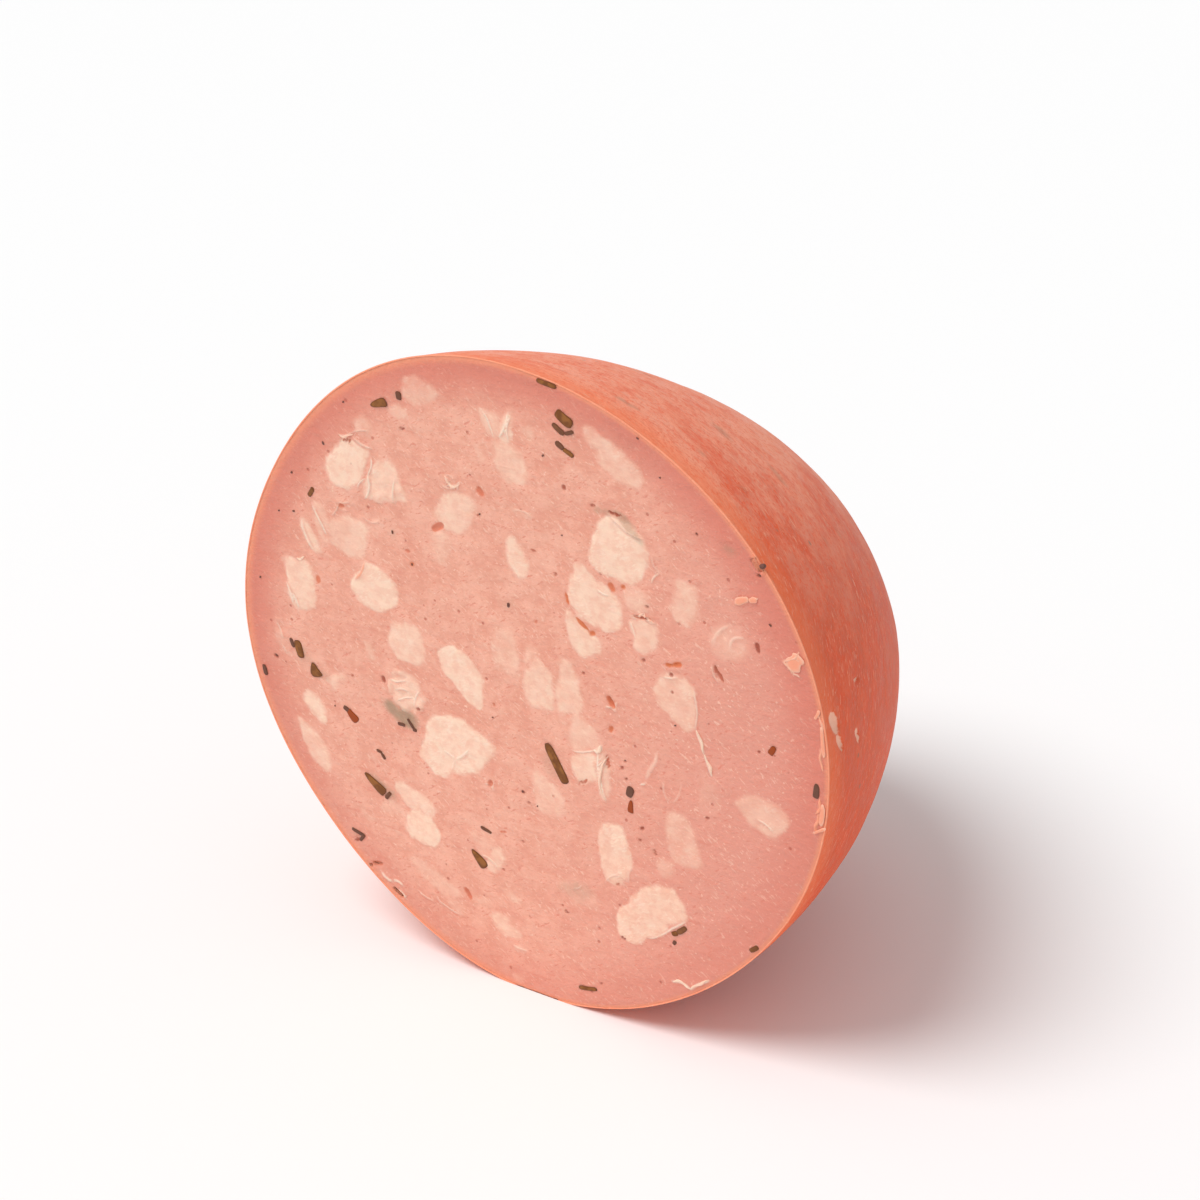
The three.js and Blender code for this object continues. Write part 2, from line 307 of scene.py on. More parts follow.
PITS = (
    Pit(-8.3, 54.6, 2.7, 1.7, -50, 0.5, 0.6),
    Pit(-22.2, 41.2, 4.6, 1.9, 35, 0.4, 0.5),
    Pit(-30.2, 66.3, 1.7, 0.8, 8, 0.3),
    Pit(-44, -8.5, 2.1, 1.3, -80, 0.5, 0.2),
    Pit(-33.4, -14.1, 1.6, 1.1, 30, 0.5, 0.2),
    Pit(-12.5, -29.8, 2, 1.5, 60, 0.6, 0.5),
    Pit(-22.9, -67.2, 3.8, 1.5, -62, 0.6, 0.5),
    Pit(26, 5.5, 3.6, 1.7, -60, 0.9, 0.75),
    Pit(25.4, -2.4, 2.1, 1.3, 70, 0.5, 0.8),
    Pit(43.4, 21.1, 1.9, 1.1, 10, 0.5, 1),
    Pit(46, 22, 2.5, 1.4, 20, 0.5, 1),
    Pit(44.7, 21.5, 1.6, 0.7, 20, 0.3, 1),
    Pit(44.1, 18.7, 1.2, 1, 0, 0.4, 0.1),
    Pit(44.1, 13.8, 0.9, 0.9, 0, 0.2, 0.2),
    Pit(68.5, 33, 2.8, 1.2, -78, 0.4, 0.15),
    Pit(57.5, 22.8, 4.8, 0.9, -60, 0.6, 0.3),
    Pit(21.7, 23.5, 1.8, 1.3, 20, 0.4, 0.9),
    Pit(18.9, 25.4, 4.6, 0.8, -38, 0.4, 0.9),
    Pit(31.4, 38.9, 1.4, 1.1, 0, 0.4, 0.9),
    Pit(28.1, 38, 2.6, 1.7, -60, 0.45, 0.75),
    Pit(38.1, 35.5, 1, 0.8, 0, 0.4),
    Pit(33.1, -28.7, 1.6, 1, 45, 0.4),
    Pit(32.2, -32.3, 1, 0.9, 0, 0.3, 0.2),
    Pit(36.4, -34.8, 2, 0.7, -75, 0.3, 0.3),
    Pit(8.3, -62.2, 1.4, 0.8, -10, 0.3, 0.1),
    Pit(25.4, -64.2, 1.8, 0.9, -20, 0.4, 0.1),
    Pit(24.8, -48.1, 1.3, 0.9, 10, 0.3, 0.3),
    Pit(36.2, 20.3, 1.1, 0.8, 40, 0.4),
    Pit(15, 31.3, 3.4, 0.8, -80, 0.3, 0.9),
    Pit(69.1, 55.1, 3.4, 1.4, -55, 1.4),
    Pit(69.6, 52.6, 1, 0.9, 0, 0.6),
    Pit(-52, -67.4, 3.8, 1.3, 15, 0.5, 0.5),
    Pit(-54.3, -68.6, 1.1, 1, 0, 0.6, 0.1),
    Pit(-46, -74.6, 4, 1.4, -32, 0.5, 0.5),
    Pit(-57.8, -61.8, 2.6, 0.8, 28, 0.4, 0.2),
    Pit(16.3, 61.8, 1.5, 1.1, -80, 0.3, 0.2),
    Pit(24.2, 59, 1.5, 0.8, 10, 0.3, 0.2),
    Pit(-47.8, 58.9, 3.8, 0.7, 8, 0.5, 0.4),
    Pit(-78.9, -11.6, 1.6, 1.1, -20, 0.3, 0.1),
    Pit(67.7, 4.2, 0.9, 0.8, 0, 0.3),
    # A painted shadow along the lower edge of a piece of fat, drawn as a shallow dark pit
    Pit(16.6, -20.1, 3.2, 0.8, 30, 0.5, 0.4),
    Pit(23.9, -12.3, 4, 0.8, -82, 0.5, 0.4),
    Pit(29.2, -15.5, 0.9, 0.8, 0, 0.3),
    Pit(28, -12.7, 1.1, 0.9, 0, 0.4),
    Pit(29, -10.6, 1, 0.7, 50, 0.3, 0.2),
    Pit(-32.3, 31.8, 1.8, 0.8, 0, 0.3, 0.5),
    Pit(-31.2, 28.4, 1.2, 1.3, 0, 0.3, 0.9),
    Pit(-61.9, 15.8, 1.4, 2.4, 0, 0.2, 0.7),
    Pit(-51.7, 39.6, 1.8, 1.3, 0, 0.4, 0.6),
    Pit(12, 37.1, 1, 0.9, 0, 0.3, 0.2),
    Pit(6, 42.1, 1.8, 0.5, 0, 0.2, 0.3),
    Pit(5.2, 22.1, 1.2, 0.8, 60, 0.3, 0.5),
    Pit(-9.6, 47.6, 1.3, 0.6, -20, 0.2, 0.3),
    Pit(-2.4, -29.2, 1.2, 0.9, -40, 0.3),
    Pit(-0.9, -32, 1, 0.8, 0, 0.3, 0.2),
    Pit(18.3, 11.4, 0.9, 0.8, 0, 0.3, 0.2),
    Pit(53.1, 59, 0.9, 0.8, 0, 0.3, 0.2),
    Pit(17.6, -81.3, 1, 0.6, 25, 0.3),
    Pit(-54, -10.3, 1.1, 0.8, 20, 0.3, 0.3),
    Pit(-9.3, -5.6, 1.2, 0.8, -80, 0.3, 0.5),
    Pit(36.2, 32, 5, 0.6, 8, 0.5, 0.4),
    Pit(30.3, 58.3, 4, 0.7, -5, 0.4, 0.2),
    Pit(-9.8, -43.7, 2.4, 0.6, 15, 0.2, 0.5),
    Pit(52.3, -19.4, 1.2, 0.7, 20, 0.3, 0.1),
)


class Ridge(NamedTuple):
    """A ridge that the knife raised, along an arc from one place to another. Bend is how far its middle stands
    off the straight line, and tone is 0 for meat, 0.5 for fat and 1 for orange casing. A loose one stands up
    as a curl of its own. The finish paints its crest paler, partly in its own tone and partly as a painted
    highlight, and paints a shadow on its flank away from the light."""

    across: float
    up: float
    to_across: float
    to_up: float
    bend: float = 0
    width: float = 1.2
    height: float = 0.3
    tone: float = 0.5
    loose: bool = False


RIDGES = (
    Ridge(-26.4, -24.2, -22.8, -25.9, 0.2, 1, 0.25),
    Ridge(-22.8, -26, -18.6, -21.9, -0.2, 1.1, 0.35),
    Ridge(-24.6, -29.6, -22.6, -26, 0.2, 0.9, 0.2),
    Ridge(20.8, -9.6, 20.9, -22.8, 0.4, 1.1, 0.35),
    Ridge(24.2, -10.6, 22.7, -23.9, -1.8, 1, 0.5, 0.4, True),
    Ridge(20, -10.2, 22.4, -8.2, -0.4, 1.6, 0.6, 0.5, True),
    Ridge(13.6, -11.8, 20.2, -10.2, -0.3, 1, 0.3),
    Ridge(-18.3, 56.3, -14.2, 55.4, -2, 1, 0.45, 0.35, True),
    Ridge(-14.2, 55.6, -14.9, 53, -0.5, 0.9, 0.35, 0.3),
    Ridge(-18.2, 56.4, -16, 55, 0.8, 0.9, 0.3, 0.2),
    Ridge(-19.2, 53, -15.2, 53.7, -0.4, 0.9, 0.3, 0.3),
    # This ridge paints the shadow crescent on the left of the small pale piece of fat next to it
    Ridge(60.9, 30.6, 64.6, 35, 1.5, 1.3, 0.25, 0.35),
    Ridge(56.4, 29.6, 61.6, 37.2, 1.6, 1.4, 0.2, 0.35),
    Ridge(75.6, 31.6, 79.6, 35.2, -0.7, 1, 0.5, 0.75, True),
    Ridge(75.6, 31.4, 77.6, 28.8, 0.5, 0.9, 0.4, 0.75, True),
    Ridge(79.6, 35.2, 80.8, 32, -0.8, 0.9, 0.45, 0.8, True),
    Ridge(77.6, 28.8, 79.4, 28.2, 0.3, 0.8, 0.4, 0.7),
    Ridge(39.8, -72.4, 45.2, -73, 0.9, 1.2, 0.4, 0.5, True),
    Ridge(45.2, -73, 50.8, -68.2, 0.4, 1.1, 0.4, 0.6, True),
    Ridge(-45.6, 25.4, -50, 18.8, 0.6, 1.2, 0.3, 0.9),
    Ridge(-46.6, 22.6, -48.8, 20.2, 0.2, 0.8, 0.25),
    Ridge(-65, 32.6, -62.6, 24.4, -0.3, 1.1, 0.4, 0.6),
    Ridge(-61, 37.4, -57.4, 29.4, 0.3, 1, 0.45),
    Ridge(33.6, 31.8, 37, 33.5, -0.6, 0.9, 0.45, 0.3, True),
    Ridge(37, 33.5, 39.9, 31.7, -0.5, 0.9, 0.45, 0.3, True),
    Ridge(33.2, 30.4, 34.4, 26.2, 0.4, 0.9, 0.3),
    Ridge(50.4, 17, 50.4, 5, 0.5, 0.9, 0.3, 0.35),
    Ridge(50.5, 5, 52.3, -1.4, 0.2, 1.1, 0.35, 0.4, True),
    Ridge(52.3, -1.4, 54.4, -6.8, 0.3, 1.1, 0.35, 0.4, True),
    Ridge(54.4, -6.8, 58.2, -10.6, 0.5, 0.8, 0.2, 0.2),
    Ridge(38.8, -4.6, 34.6, -14, 0.6, 1.6, 0.25, 0.3),
    Ridge(40.2, -12.4, 41.5, -18.8, -0.6, 1.1, 0.2, 0.3),
    Ridge(44.9, -12.4, 42.2, -18.6, 0.9, 1, 0.18, 0.3),
    # A painted highlight, drawn as a short pale ridge
    Ridge(33.2, -15.5, 34.7, -14.8, 0, 1, 0.3, 0.5),
    Ridge(62.8, 43.4, 66.8, 46, -0.3, 1.6, 0.4, 0.85, True),
    Ridge(66.9, 44.9, 69.1, 46.5, 0.2, 1.1, 0.35, 0.7, True),
    # The same painted highlight streak, drawn as a pale ridge
    Ridge(1, 52, 6.6, 51.4, 0.5, 1, 0.25, 0.3),
    Ridge(-68.2, 20.2, -65.6, 21.3, -0.3, 0.8, 0.4, 0.4, True),
    Ridge(28.4, -46.4, 29.8, -41, 0.6, 0.9, 0.25, 0.3),
    Ridge(20.7, -49.2, 28.4, -46.4, 2, 0.9, 0.25, 0.3),
    Ridge(44.6, -52.4, 36.6, -59.6, 0.4, 1, 0.4),
    Ridge(36.6, -59.6, 32.6, -61.8, 0.3, 0.8, 0.3),
    Ridge(-50.4, -69.4, -47.4, -71.4, -0.4, 1.6, 0.5, 0.5),
    Ridge(-47, -71, -44.2, -71.8, 0.5, 1.4, 0.4, 0.5),
    Ridge(-46, -73.6, -43.6, -75.6, 0.4, 1.1, 0.4, 0.6),
    Ridge(-39.4, -71.4, -34, -73.4, -0.5, 1, 0.3, 0.3),
    Ridge(-33.4, -72, -26.4, -75, -0.6, 1, 0.3, 0.3),
    Ridge(-43.8, 43.8, -42, 50.8, -0.9, 1, 0.45),
    Ridge(-42, 50.8, -41, 55.4, -0.6, 0.9, 0.4),
    Ridge(-45.8, 46.6, -42.6, 49.8, 0.5, 0.8, 0.3),
    Ridge(-34.4, 45.2, -33.8, 51.8, 0.5, 0.9, 0.3),
    Ridge(-50, 59.8, -45.6, 61.2, -0.5, 1, 0.5, 0.3, True),
    Ridge(-45.6, 61.2, -40.6, 63.4, 0.4, 0.9, 0.35, 0.3),
    Ridge(-45.4, 60, -40, 58, -0.4, 1, 0.35, 0.3),
    Ridge(-1.6, 71, 2, 78, -0.5, 1, 0.4),
    Ridge(1.2, 70.4, 2.8, 77.6, 0.6, 0.8, 0.3),
    Ridge(-5.8, 77, -3.2, 70.6, 0.4, 0.9, 0.3),
    Ridge(24.9, 3.8, 27.4, 3.4, 0.6, 0.8, 0.4, 0.35),
    Ridge(27.4, 3.6, 27.8, 6.4, 0.3, 0.7, 0.3, 0.3),
    Ridge(-14.2, -30.6, -11.4, -31.6, 0.7, 0.9, 0.3, 0.35),
    Ridge(-11.2, -31.4, -10.8, -28.6, 0.4, 0.8, 0.25, 0.3),
    Ridge(28.4, 57.8, 38.4, 53.6, -1, 1.1, 0.35, 0.3),
    Ridge(39.9, 50.1, 42.1, 45.7, -0.6, 0.9, 0.3, 0.2),
    Ridge(42.1, 45.7, 39.9, 42.2, -0.5, 0.9, 0.3, 0.35),
    Ridge(55.7, 24.8, 58.2, 20.4, -0.7, 0.9, 0.35, 0.2),
    Ridge(66.6, -14.7, 70.6, -17.4, 0.5, 1.1, 0.3),
    Ridge(84.6, 20, 85.2, 14, 0.3, 1.1, 0.4, 0.8, True),
    Ridge(85, 10.5, 85.2, 4.5, -0.3, 1, 0.4, 0.85, True),
    Ridge(84.4, -3.6, 83.2, -8.4, 0.3, 1.2, 0.45, 0.9, True),
    Ridge(84.2, -7.8, 82.8, -13.6, -0.3, 1.2, 0.45, 0.9, True),
    Ridge(25.9, -21.2, 28.9, -22.3, 0.3, 0.8, 0.25, 0.25),
    Ridge(25.6, -12, 25.8, -20, 0.5, 0.7, 0.2, 0.2),
    Ridge(-55.3, 36.2, -52.4, 40.2, -0.4, 0.9, 0.3, 0.25),
    Ridge(-52.4, 40.2, -48.7, 41.2, -0.4, 0.9, 0.3, 0.25),
    Ridge(-45.4, 38.2, -40.4, 38.6, -1.2, 0.9, 0.25, 0.25),
    Ridge(-41.6, -7.6, -36.6, -6.6, -0.5, 0.8, 0.4, 0.4),
    Ridge(-40.6, -10.4, -35.8, -9.6, 0.6, 0.8, 0.4, 0.4),
    Ridge(-39.6, -13.4, -34.6, -11.2, 0.4, 0.8, 0.4, 0.4),
    Ridge(-34.4, -14, -32.4, -8.4, 0.4, 0.8, 0.3, 0.4),
    Ridge(-17.6, -53.6, -11.8, -56.6, 1.6, 0.9, 0.25, 0.4),
    Ridge(-72.6, 12, -70.8, 6.6, 0.3, 1.2, 0.35),
    Ridge(-71, 9.8, -69, 5.8, 0.3, 0.9, 0.3),
    Ridge(-77.4, -1, -75.8, -5.2, 0.3, 1, 0.3, 0.3),
    Ridge(-76.6, -6.8, -75.4, -9.4, 0.2, 0.9, 0.25, 0.3),
    Ridge(10.9, -53.9, 13.6, -52.2, -0.6, 0.9, 0.25, 0.3),
    Ridge(41.6, 17.4, 46, 18.6, -0.3, 0.9, 0.3, 0.4),
    Ridge(24.4, 36.4, 27.4, 35.4, -0.3, 1, 0.35),
    # A painted highlight streak, drawn as a pale ridge over the small pale piece at the same place
    Ridge(-5, -79.4, -10, -79, 0.2, 0.9, 0.3, 0.35),
)


class Lump(NamedTuple):
    """A small rounded thing that lies in the cut. Height is half its thickness, and taper narrows the end
    that turn points away from."""

    across: float
    up: float
    length: float
    width: float
    height: float
    turn: float
    taper: float = 0


# Flat flakes of torn skin that lie on the cut near its rim
FLAKES = (
    Lump(64.8, 44.8, 4.4, 1.7, 0.22, 34),
    Lump(68, 45.8, 2.4, 1.3, 0.2, 30),
    Lump(78.6, 32, 5.4, 4.6, 0.25, 62),
    Lump(85.4, 12.4, 8.4, 1, 0.22, 92),
    Lump(84.7, -8, 6.4, 1.2, 0.22, 84),
    Lump(84, -12.6, 4.2, 0.9, 0.22, 36),
    Lump(84.2, 19.6, 3, 1, 0.22, 65),
)

# Specks of pepper: across, up and how wide
PEPPER = (
    (-2.7, 24.6, 1.17),
    (-36.5, 36, 0.86),
    (-66.7, 45.2, 0.7),
    (-55.5, 56.1, 0.86),
    (-67.5, 34, 0.7),
    (-72.2, 33, 0.55),
    (-47.6, 69.4, 0.62),
    (72.2, 40.2, 0.7),
    (-9, 48.2, 0.55),
    (14.8, 48.6, 0.47),
    (11, 69, 0.7),
    (-78.9, -11.4, 0.78),
    (-61, -21.5, 0.47),
    (-2.6, -29.2, 0.7),
    (44.3, 4.4, 0.55),
    (29, -10.4, 0.55),
    (-31.3, 28.2, 0.7),
    (1.9, -32, 0.47),
    (38.2, 80.2, 0.62),
    (43.6, 71.2, 0.47),
    (70, 52.8, 0.7),
    (-81, 11.4, 0.62),
    (53, 59, 0.39),
    (-10, -9.5, 0.47),
)
PEPPERCORN = Lump(70.8, 55.4, 1.7, 1.2, 0.6, 20)


class Spot(NamedTuple):
    """A place on the casing: degrees round the rim, millimetres behind it, and its size and turn."""

    angle: float
    behind: float
    length: float
    width: float
    turn: float


# Olives and pepper that show through the skin
GREY_SPOTS = (
    Spot(71.4, 12.6, 6, 2.6, 0),
    Spot(57.9, 16.2, 1.4, 1.2, 0),
    Spot(61.9, 41.4, 6, 4, 20),
    Spot(51.2, 48, 7, 2, 10),
    Spot(50.1, 18.9, 1.4, 1.2, 0),
    Spot(52.9, 41.4, 2, 1.2, 0),
    Spot(38.2, 61.2, 2.4, 1.4, 0),
    Spot(37.7, 45.8, 1.6, 1.2, 0),
    Spot(82, 54, 5, 3, 0),
    Spot(100, 30, 7, 3, 20),
    Spot(135, 22, 5, 3, -30),
    Spot(165, 40, 6, 2, 40),
    Spot(200, 28, 4, 3, 0),
    Spot(230, 60, 6, 3, 20),
    Spot(110, 80, 5, 4, 0),
    Spot(0, 90, 7, 3, 10),
    Spot(-25, 50, 5, 2, 60),
    Spot(85, 120, 6, 3, 0),
    Spot(30, 130, 5, 3, 30),
    Spot(150, 100, 7, 3, -20),
)

# Where the skin is torn off the fat
TEARS = (
    Spot(10.6, 6, 6.5, 4.4, 150),
    Spot(6.8, 8.2, 5.5, 3, 145),
    Spot(5.4, 21.5, 4.5, 2, 150),
    Spot(14.6, 26.5, 3.4, 1, 80),
)


def unit(points):
    """Unit vectors along the last axis."""
    return points / np.linalg.norm(points, axis=-1, keepdims=True)


# --------------------------------------------------------------------------------------------------
# Shape
# --------------------------------------------------------------------------------------------------


def soft_step(value, low, high):
    """0 below low, 1 above high, and 3t^2 - 2t^3 between them."""
    t = np.clip((value - low) / (high - low), 0, 1)
    return t * t * (3 - 2 * t)


def soft_noise(points, cell, seed):
    """Smooth random values from -1 to 1: random numbers on a cubic lattice of that cell, joined along each
    axis by 3t^2 - 2t^3."""
    table = np.random.default_rng(seed).uniform(-1, 1, (LATTICE,) * 3)
    scaled = np.asarray(points, float) / cell
    corner = np.floor(scaled).astype(int)
    t = scaled - corner
    t = t * t * (3 - 2 * t)
    total = np.zeros(scaled.shape[:-1])
    for offset in itertools.product((0, 1), repeat=3):
        weight = np.prod(np.where(offset, t, 1 - t), axis=-1)
        near = (corner + offset) % LATTICE
        total += weight * table[near[..., 0], near[..., 1], near[..., 2]]
    return total


def layered(points, layers):
    """The sum of soft noise in layers of height, cell and seed."""
    return sum(height * soft_noise(points, cell, seed) for height, cell, seed in layers)


def on_oblong(x, y, across, up, length, width, turn):
    """How far each place lies inside a rounded oblong, negative outside. The outline is |u|^3 + |v|^3 = 1,
    with u along it and v across it as shares of its half sizes, and the distance is taken towards its
    centre."""
    c, s = math.cos(math.radians(turn)), math.sin(math.radians(turn))
    along, aside = (x - across) * c + (y - up) * s, (y - up) * c - (x - across) * s
    u = np.abs(along) / (length / 2)
    v = np.abs(aside) / (width / 2)
    share = np.cbrt(u**3 + v**3) + 1e-9
    distance = np.hypot(along, aside)
    return distance / share - distance


# Shares of its sides at which an outline's corners are cut off, one round after the other
CORNER_CUTS = (0.16, 0.25)
# The way in which a ridge's lit side lies, across and up
LIT_SIDE = (0.85, 0.5)
ARC_POINTS = 9


def inside_outline(x, y, corners, reach=4):
    """How far each place lies inside an outline, negative outside: the distance to its nearest side, signed
    by whether a line to the right crosses the outline an odd number of times. Its corners are rounded
    first, by cutting them off twice. Places further off than the reach are left at -reach."""
    points = np.array(corners, float)
    low, high = points.min(0) - reach, points.max(0) + reach
    for share in CORNER_CUTS:
        after = np.roll(points, -1, axis=0)
        cut = [points * (1 - share) + after * share, points * share + after * (1 - share)]
        points = np.stack(cut, 1).reshape(-1, 2)
    near = (x > low[0]) & (x < high[0]) & (y > low[1]) & (y < high[1])
    nx, ny = x[near], y[near]
    distance, within = np.full(nx.shape, np.inf), np.zeros(nx.shape, bool)
    for (ax, ay), (bx, by) in zip(points, np.roll(points, -1, axis=0)):
        run, rise = bx - ax, by - ay
        t = np.clip(((nx - ax) * run + (ny - ay) * rise) / (run * run + rise * rise), 0, 1)
        distance = np.minimum(distance, np.hypot(nx - ax - t * run, ny - ay - t * rise))
        crosses = (ay > ny) != (by > ny)
        within ^= crosses & (nx < ax + (ny - ay) / (rise if rise else 1) * run)
    result = np.full(x.shape, -float(reach))
    result[near] = np.where(within, distance, -distance)
    return result


def off_arc(x, y, ridge, reach=3):
    """How far each place lies from a ridge's arc, positive on its upper left side, and how far along it
    from 0 to 1. The arc is straight pieces between points of begin + t * span + 4 * bend * t * (1 - t) *
    aside."""
    line = arc_points(ridge, np.linspace(0, 1, ARC_POINTS))
    low, high = line.min(0) - reach, line.max(0) + reach
    near = (x > low[0]) & (x < high[0]) & (y > low[1]) & (y < high[1])
    nx, ny = x[near], y[near]
    best, where = np.full(nx.shape, float(reach)), np.zeros(nx.shape)
    for step, ((ax, ay), (bx, by)) in enumerate(zip(line[:-1], line[1:])):
        run, rise = bx - ax, by - ay
        t = np.clip(((nx - ax) * run + (ny - ay) * rise) / (run * run + rise * rise), 0, 1)
        over = run * (ny - ay) - rise * (nx - ax)
        side = np.where(over * (LIT_SIDE[0] * run + LIT_SIDE[1] * rise) > 0, 1.0, -1.0)
        distance = np.hypot(nx - ax - t * run, ny - ay - t * rise)
        where = np.where(distance < np.abs(best), (step + t) / (len(line) - 1), where)
        best = np.where(distance < np.abs(best), distance * side, best)
    result, along = np.full(x.shape, float(reach)), np.zeros(x.shape)
    result[near], along[near] = best, where
    return result, along


def arc_points(ridge, t):
    """Places along a ridge's arc, with t from 0 at its begin to 1 at its end."""
    begin = np.array([ridge.across, ridge.up])
    span = np.array([ridge.to_across, ridge.to_up]) - begin
    aside = np.array([span[1], -span[0]]) / np.linalg.norm(span)
    return begin + t[:, None] * span + (4 * ridge.bend * t * (1 - t))[:, None] * -aside


class Loaf:
    """The smooth form of the half loaf, in millimetres in the frame's own place. A ball of radius 1 is
    stretched along the loaf's axis and round it, and cut by the plane of the face. Lobes that die out
    towards the far end widen its outline by a sum of share * cos(count * (angle - crest))."""

    LOBES = ((3, 0.0053, 27), (4, 0.0094, 6), (5, 0.0049, -29))

    def __init__(self, sizes):
        self.long, self.round = sizes.length / 2 / MM, sizes.thickness / 2 / MM
        self.skin = sizes.casing_thickness / MM
        turn, dip, lean = sizes.axis_turn, sizes.axis_dip, sizes.face_lean
        self.axis = np.array(
            [-math.sin(turn) * math.cos(dip), math.cos(turn) * math.cos(dip), -math.sin(dip)]
        )
        self.across = np.array([1.0, 0.0, 0.0])
        self.out = np.array([0.0, -math.cos(lean), -math.sin(lean)])
        self.up = np.cross(self.out, self.across)
        normal = self.stretched(self.out, self.long, self.round)
        cut = -sizes.cut_past_middle / MM / np.linalg.norm(normal)
        self.normal = unit(normal)
        self.rim_angle = math.acos(-cut)
        self.centre = self.stretched(self.normal * cut, self.long, self.round)
        self.centre = self.centre + self.place_in_box()

    def place_in_box(self):
        """The move that lets the loaf down into the solid's box: sides centred, far end and top
        touching."""
        low, high = (np.array(corner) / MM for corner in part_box(NODE))
        angle, share = np.meshgrid(np.linspace(0, 2 * math.pi, 361), np.linspace(0, 1, 121))
        points = self.casing(angle, share)
        own_low, own_high = points.min((0, 1)), points.max((0, 1))
        return np.array([(low + high - own_low - own_high)[0] / 2, *(high - own_high)[1:]])

    def stretched(self, v, along, round_it):
        """A vector of the ball, made long along the loaf's axis and wide round it."""
        return v * round_it + np.multiply.outer(v @ self.axis, self.axis) * (along - round_it)

    def direction(self, angle):
        """The way from the face's centre to its rim at an angle, 0 to the right and 90 degrees up."""
        return np.multiply.outer(np.cos(angle), self.across) + np.multiply.outer(np.sin(angle), self.up)

    def lobe(self, angle):
        """The share by which the outline is widened at an angle."""
        waves = ((share, count * (angle - math.radians(crest))) for count, share, crest in self.LOBES)
        return sum(share * np.cos(turns) for share, turns in waves)

    def rim(self, angle):
        """Distance from the face's centre to the outside of the casing."""
        in_ball = self.stretched(self.direction(angle), 1 / self.long, 1 / self.round)
        return math.sin(self.rim_angle) / np.linalg.norm(in_ball, axis=-1) * (1 + self.lobe(angle))

    def casing(self, angle, share):
        """The casing's outside: share is 0 at the rim and 1 at the far pole, along a great circle of the
        ball."""
        polar = self.rim_angle * (1 - share)
        side = unit(self.stretched(self.direction(angle), 1 / self.long, 1 / self.round))
        widened = np.sin(polar) * (1 + self.lobe(angle) * (1 - share) ** 2)
        in_ball = side * widened[..., None] - np.multiply.outer(np.cos(polar), self.normal)
        whole = self.stretched(in_ball, self.long, self.round)
        middle = self.centre - self.stretched(self.normal * -math.cos(self.rim_angle), self.long, self.round)
        return whole + middle

    def face(self, x, y, height):
        """A place on the cut, across and up from its centre, and that high above its plane."""
        flat = np.multiply.outer(x, self.across) + np.multiply.outer(y, self.up)
        return self.centre + flat + np.multiply.outer(height, self.out)


def closed_mesh(name, points, quads, triangles, material, **values):
    """A mesh object at the origin, from points in millimetres, four-sided and three-sided faces, and one
    named value for each point."""
    mesh = bpy.data.meshes.new(name)
    quads, triangles = np.asarray(quads).reshape(-1, 4), np.asarray(triangles).reshape(-1, 3)
    corners = np.concatenate([quads.ravel(), triangles.ravel()]).astype(np.int32)
    starts = np.concatenate(
        [np.arange(len(quads)) * 4, len(quads) * 4 + np.arange(len(triangles)) * 3]
    ).astype(np.int32)
    mesh.vertices.add(len(points))
    mesh.loops.add(len(corners))
    mesh.polygons.add(len(starts))
    mesh.vertices.foreach_set("co", (np.asarray(points) * MM).astype(np.float32).ravel())
    mesh.loops.foreach_set("vertex_index", corners)
    mesh.polygons.foreach_set("loop_start", starts)
    mesh.update(calc_edges=True)
    mesh.validate()
    mesh.shade_smooth()
    for value_name, value in values.items():
        layer = mesh.attributes.new(value_name, "FLOAT", "POINT")
        layer.data.foreach_set("value", np.asarray(value, np.float32).ravel())
    mesh.materials.append(material)
    piece = bpy.data.objects.new(name, mesh)
    bpy.context.scene.collection.objects.link(piece)
    return piece


def belongs(piece):
    """The piece stands for the solid, which is hidden, and rides on its body."""
    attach(piece, BODY)
    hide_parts(NODE)


def disc_grid(rings):
    """A square grid turned into a disc of radius 1. The grid's square ring k becomes the circle of radius k
    / rings with 8k even points, so x = r cos(q pi / 4p) and y = r sin(q pi / 4p) where p is the larger."""
    line = np.linspace(-1, 1, 2 * rings + 1)
    p, q = np.meshgrid(line, line)
    wide = np.abs(p) >= np.abs(q)
    larger, smaller = np.where(wide, p, q), np.where(wide, q, p)
    turn = math.pi / 4 * smaller / np.where(larger == 0, 1, larger)
    near, far = larger * np.cos(turn), larger * np.sin(turn)
    return np.where(wide, near, far), np.where(wide, far, near)


def grid_quads(rows, columns, closed=False):
    """Four-sided faces of a grid of points, with the last column joined to the first where it is closed."""
    across = columns if closed else columns - 1
    row, column = np.meshgrid(np.arange(rows - 1), np.arange(across), indexing="ij")
    after = (column + 1) % columns
    here, below = row * columns, (row + 1) * columns
    return np.stack([here + column, here + after, below + after, below + column], -1).reshape(-1, 4)


def tube_faces(rows, sides):
    """Faces of a closed tube: rows of points round it, then the point at its first end and the one at its
    last."""
    around, last = np.arange(sides), (rows - 1) * sides
    after = (around + 1) % sides
    first_fan = np.stack([after, around, np.full(sides, rows * sides)], -1)
    last_fan = np.stack([last + around, last + after, np.full(sides, rows * sides + 1)], -1)
    return grid_quads(rows, sides, closed=True), np.concatenate([first_fan, last_fan])


def joined_tubes(bodies, rows, sides):
    """The points, four-sided faces and three-sided faces of closed tubes that all have that many rows and
    sides."""
    quads, fans = tube_faces(rows, sides)
    starts = np.arange(len(bodies))[:, None, None] * len(bodies[0])
    return np.concatenate(bodies), (starts + quads).reshape(-1, 4), (starts + fans).reshape(-1, 3)


# --------------------------------------------------------------------------------------------------
# Materials
# --------------------------------------------------------------------------------------------------


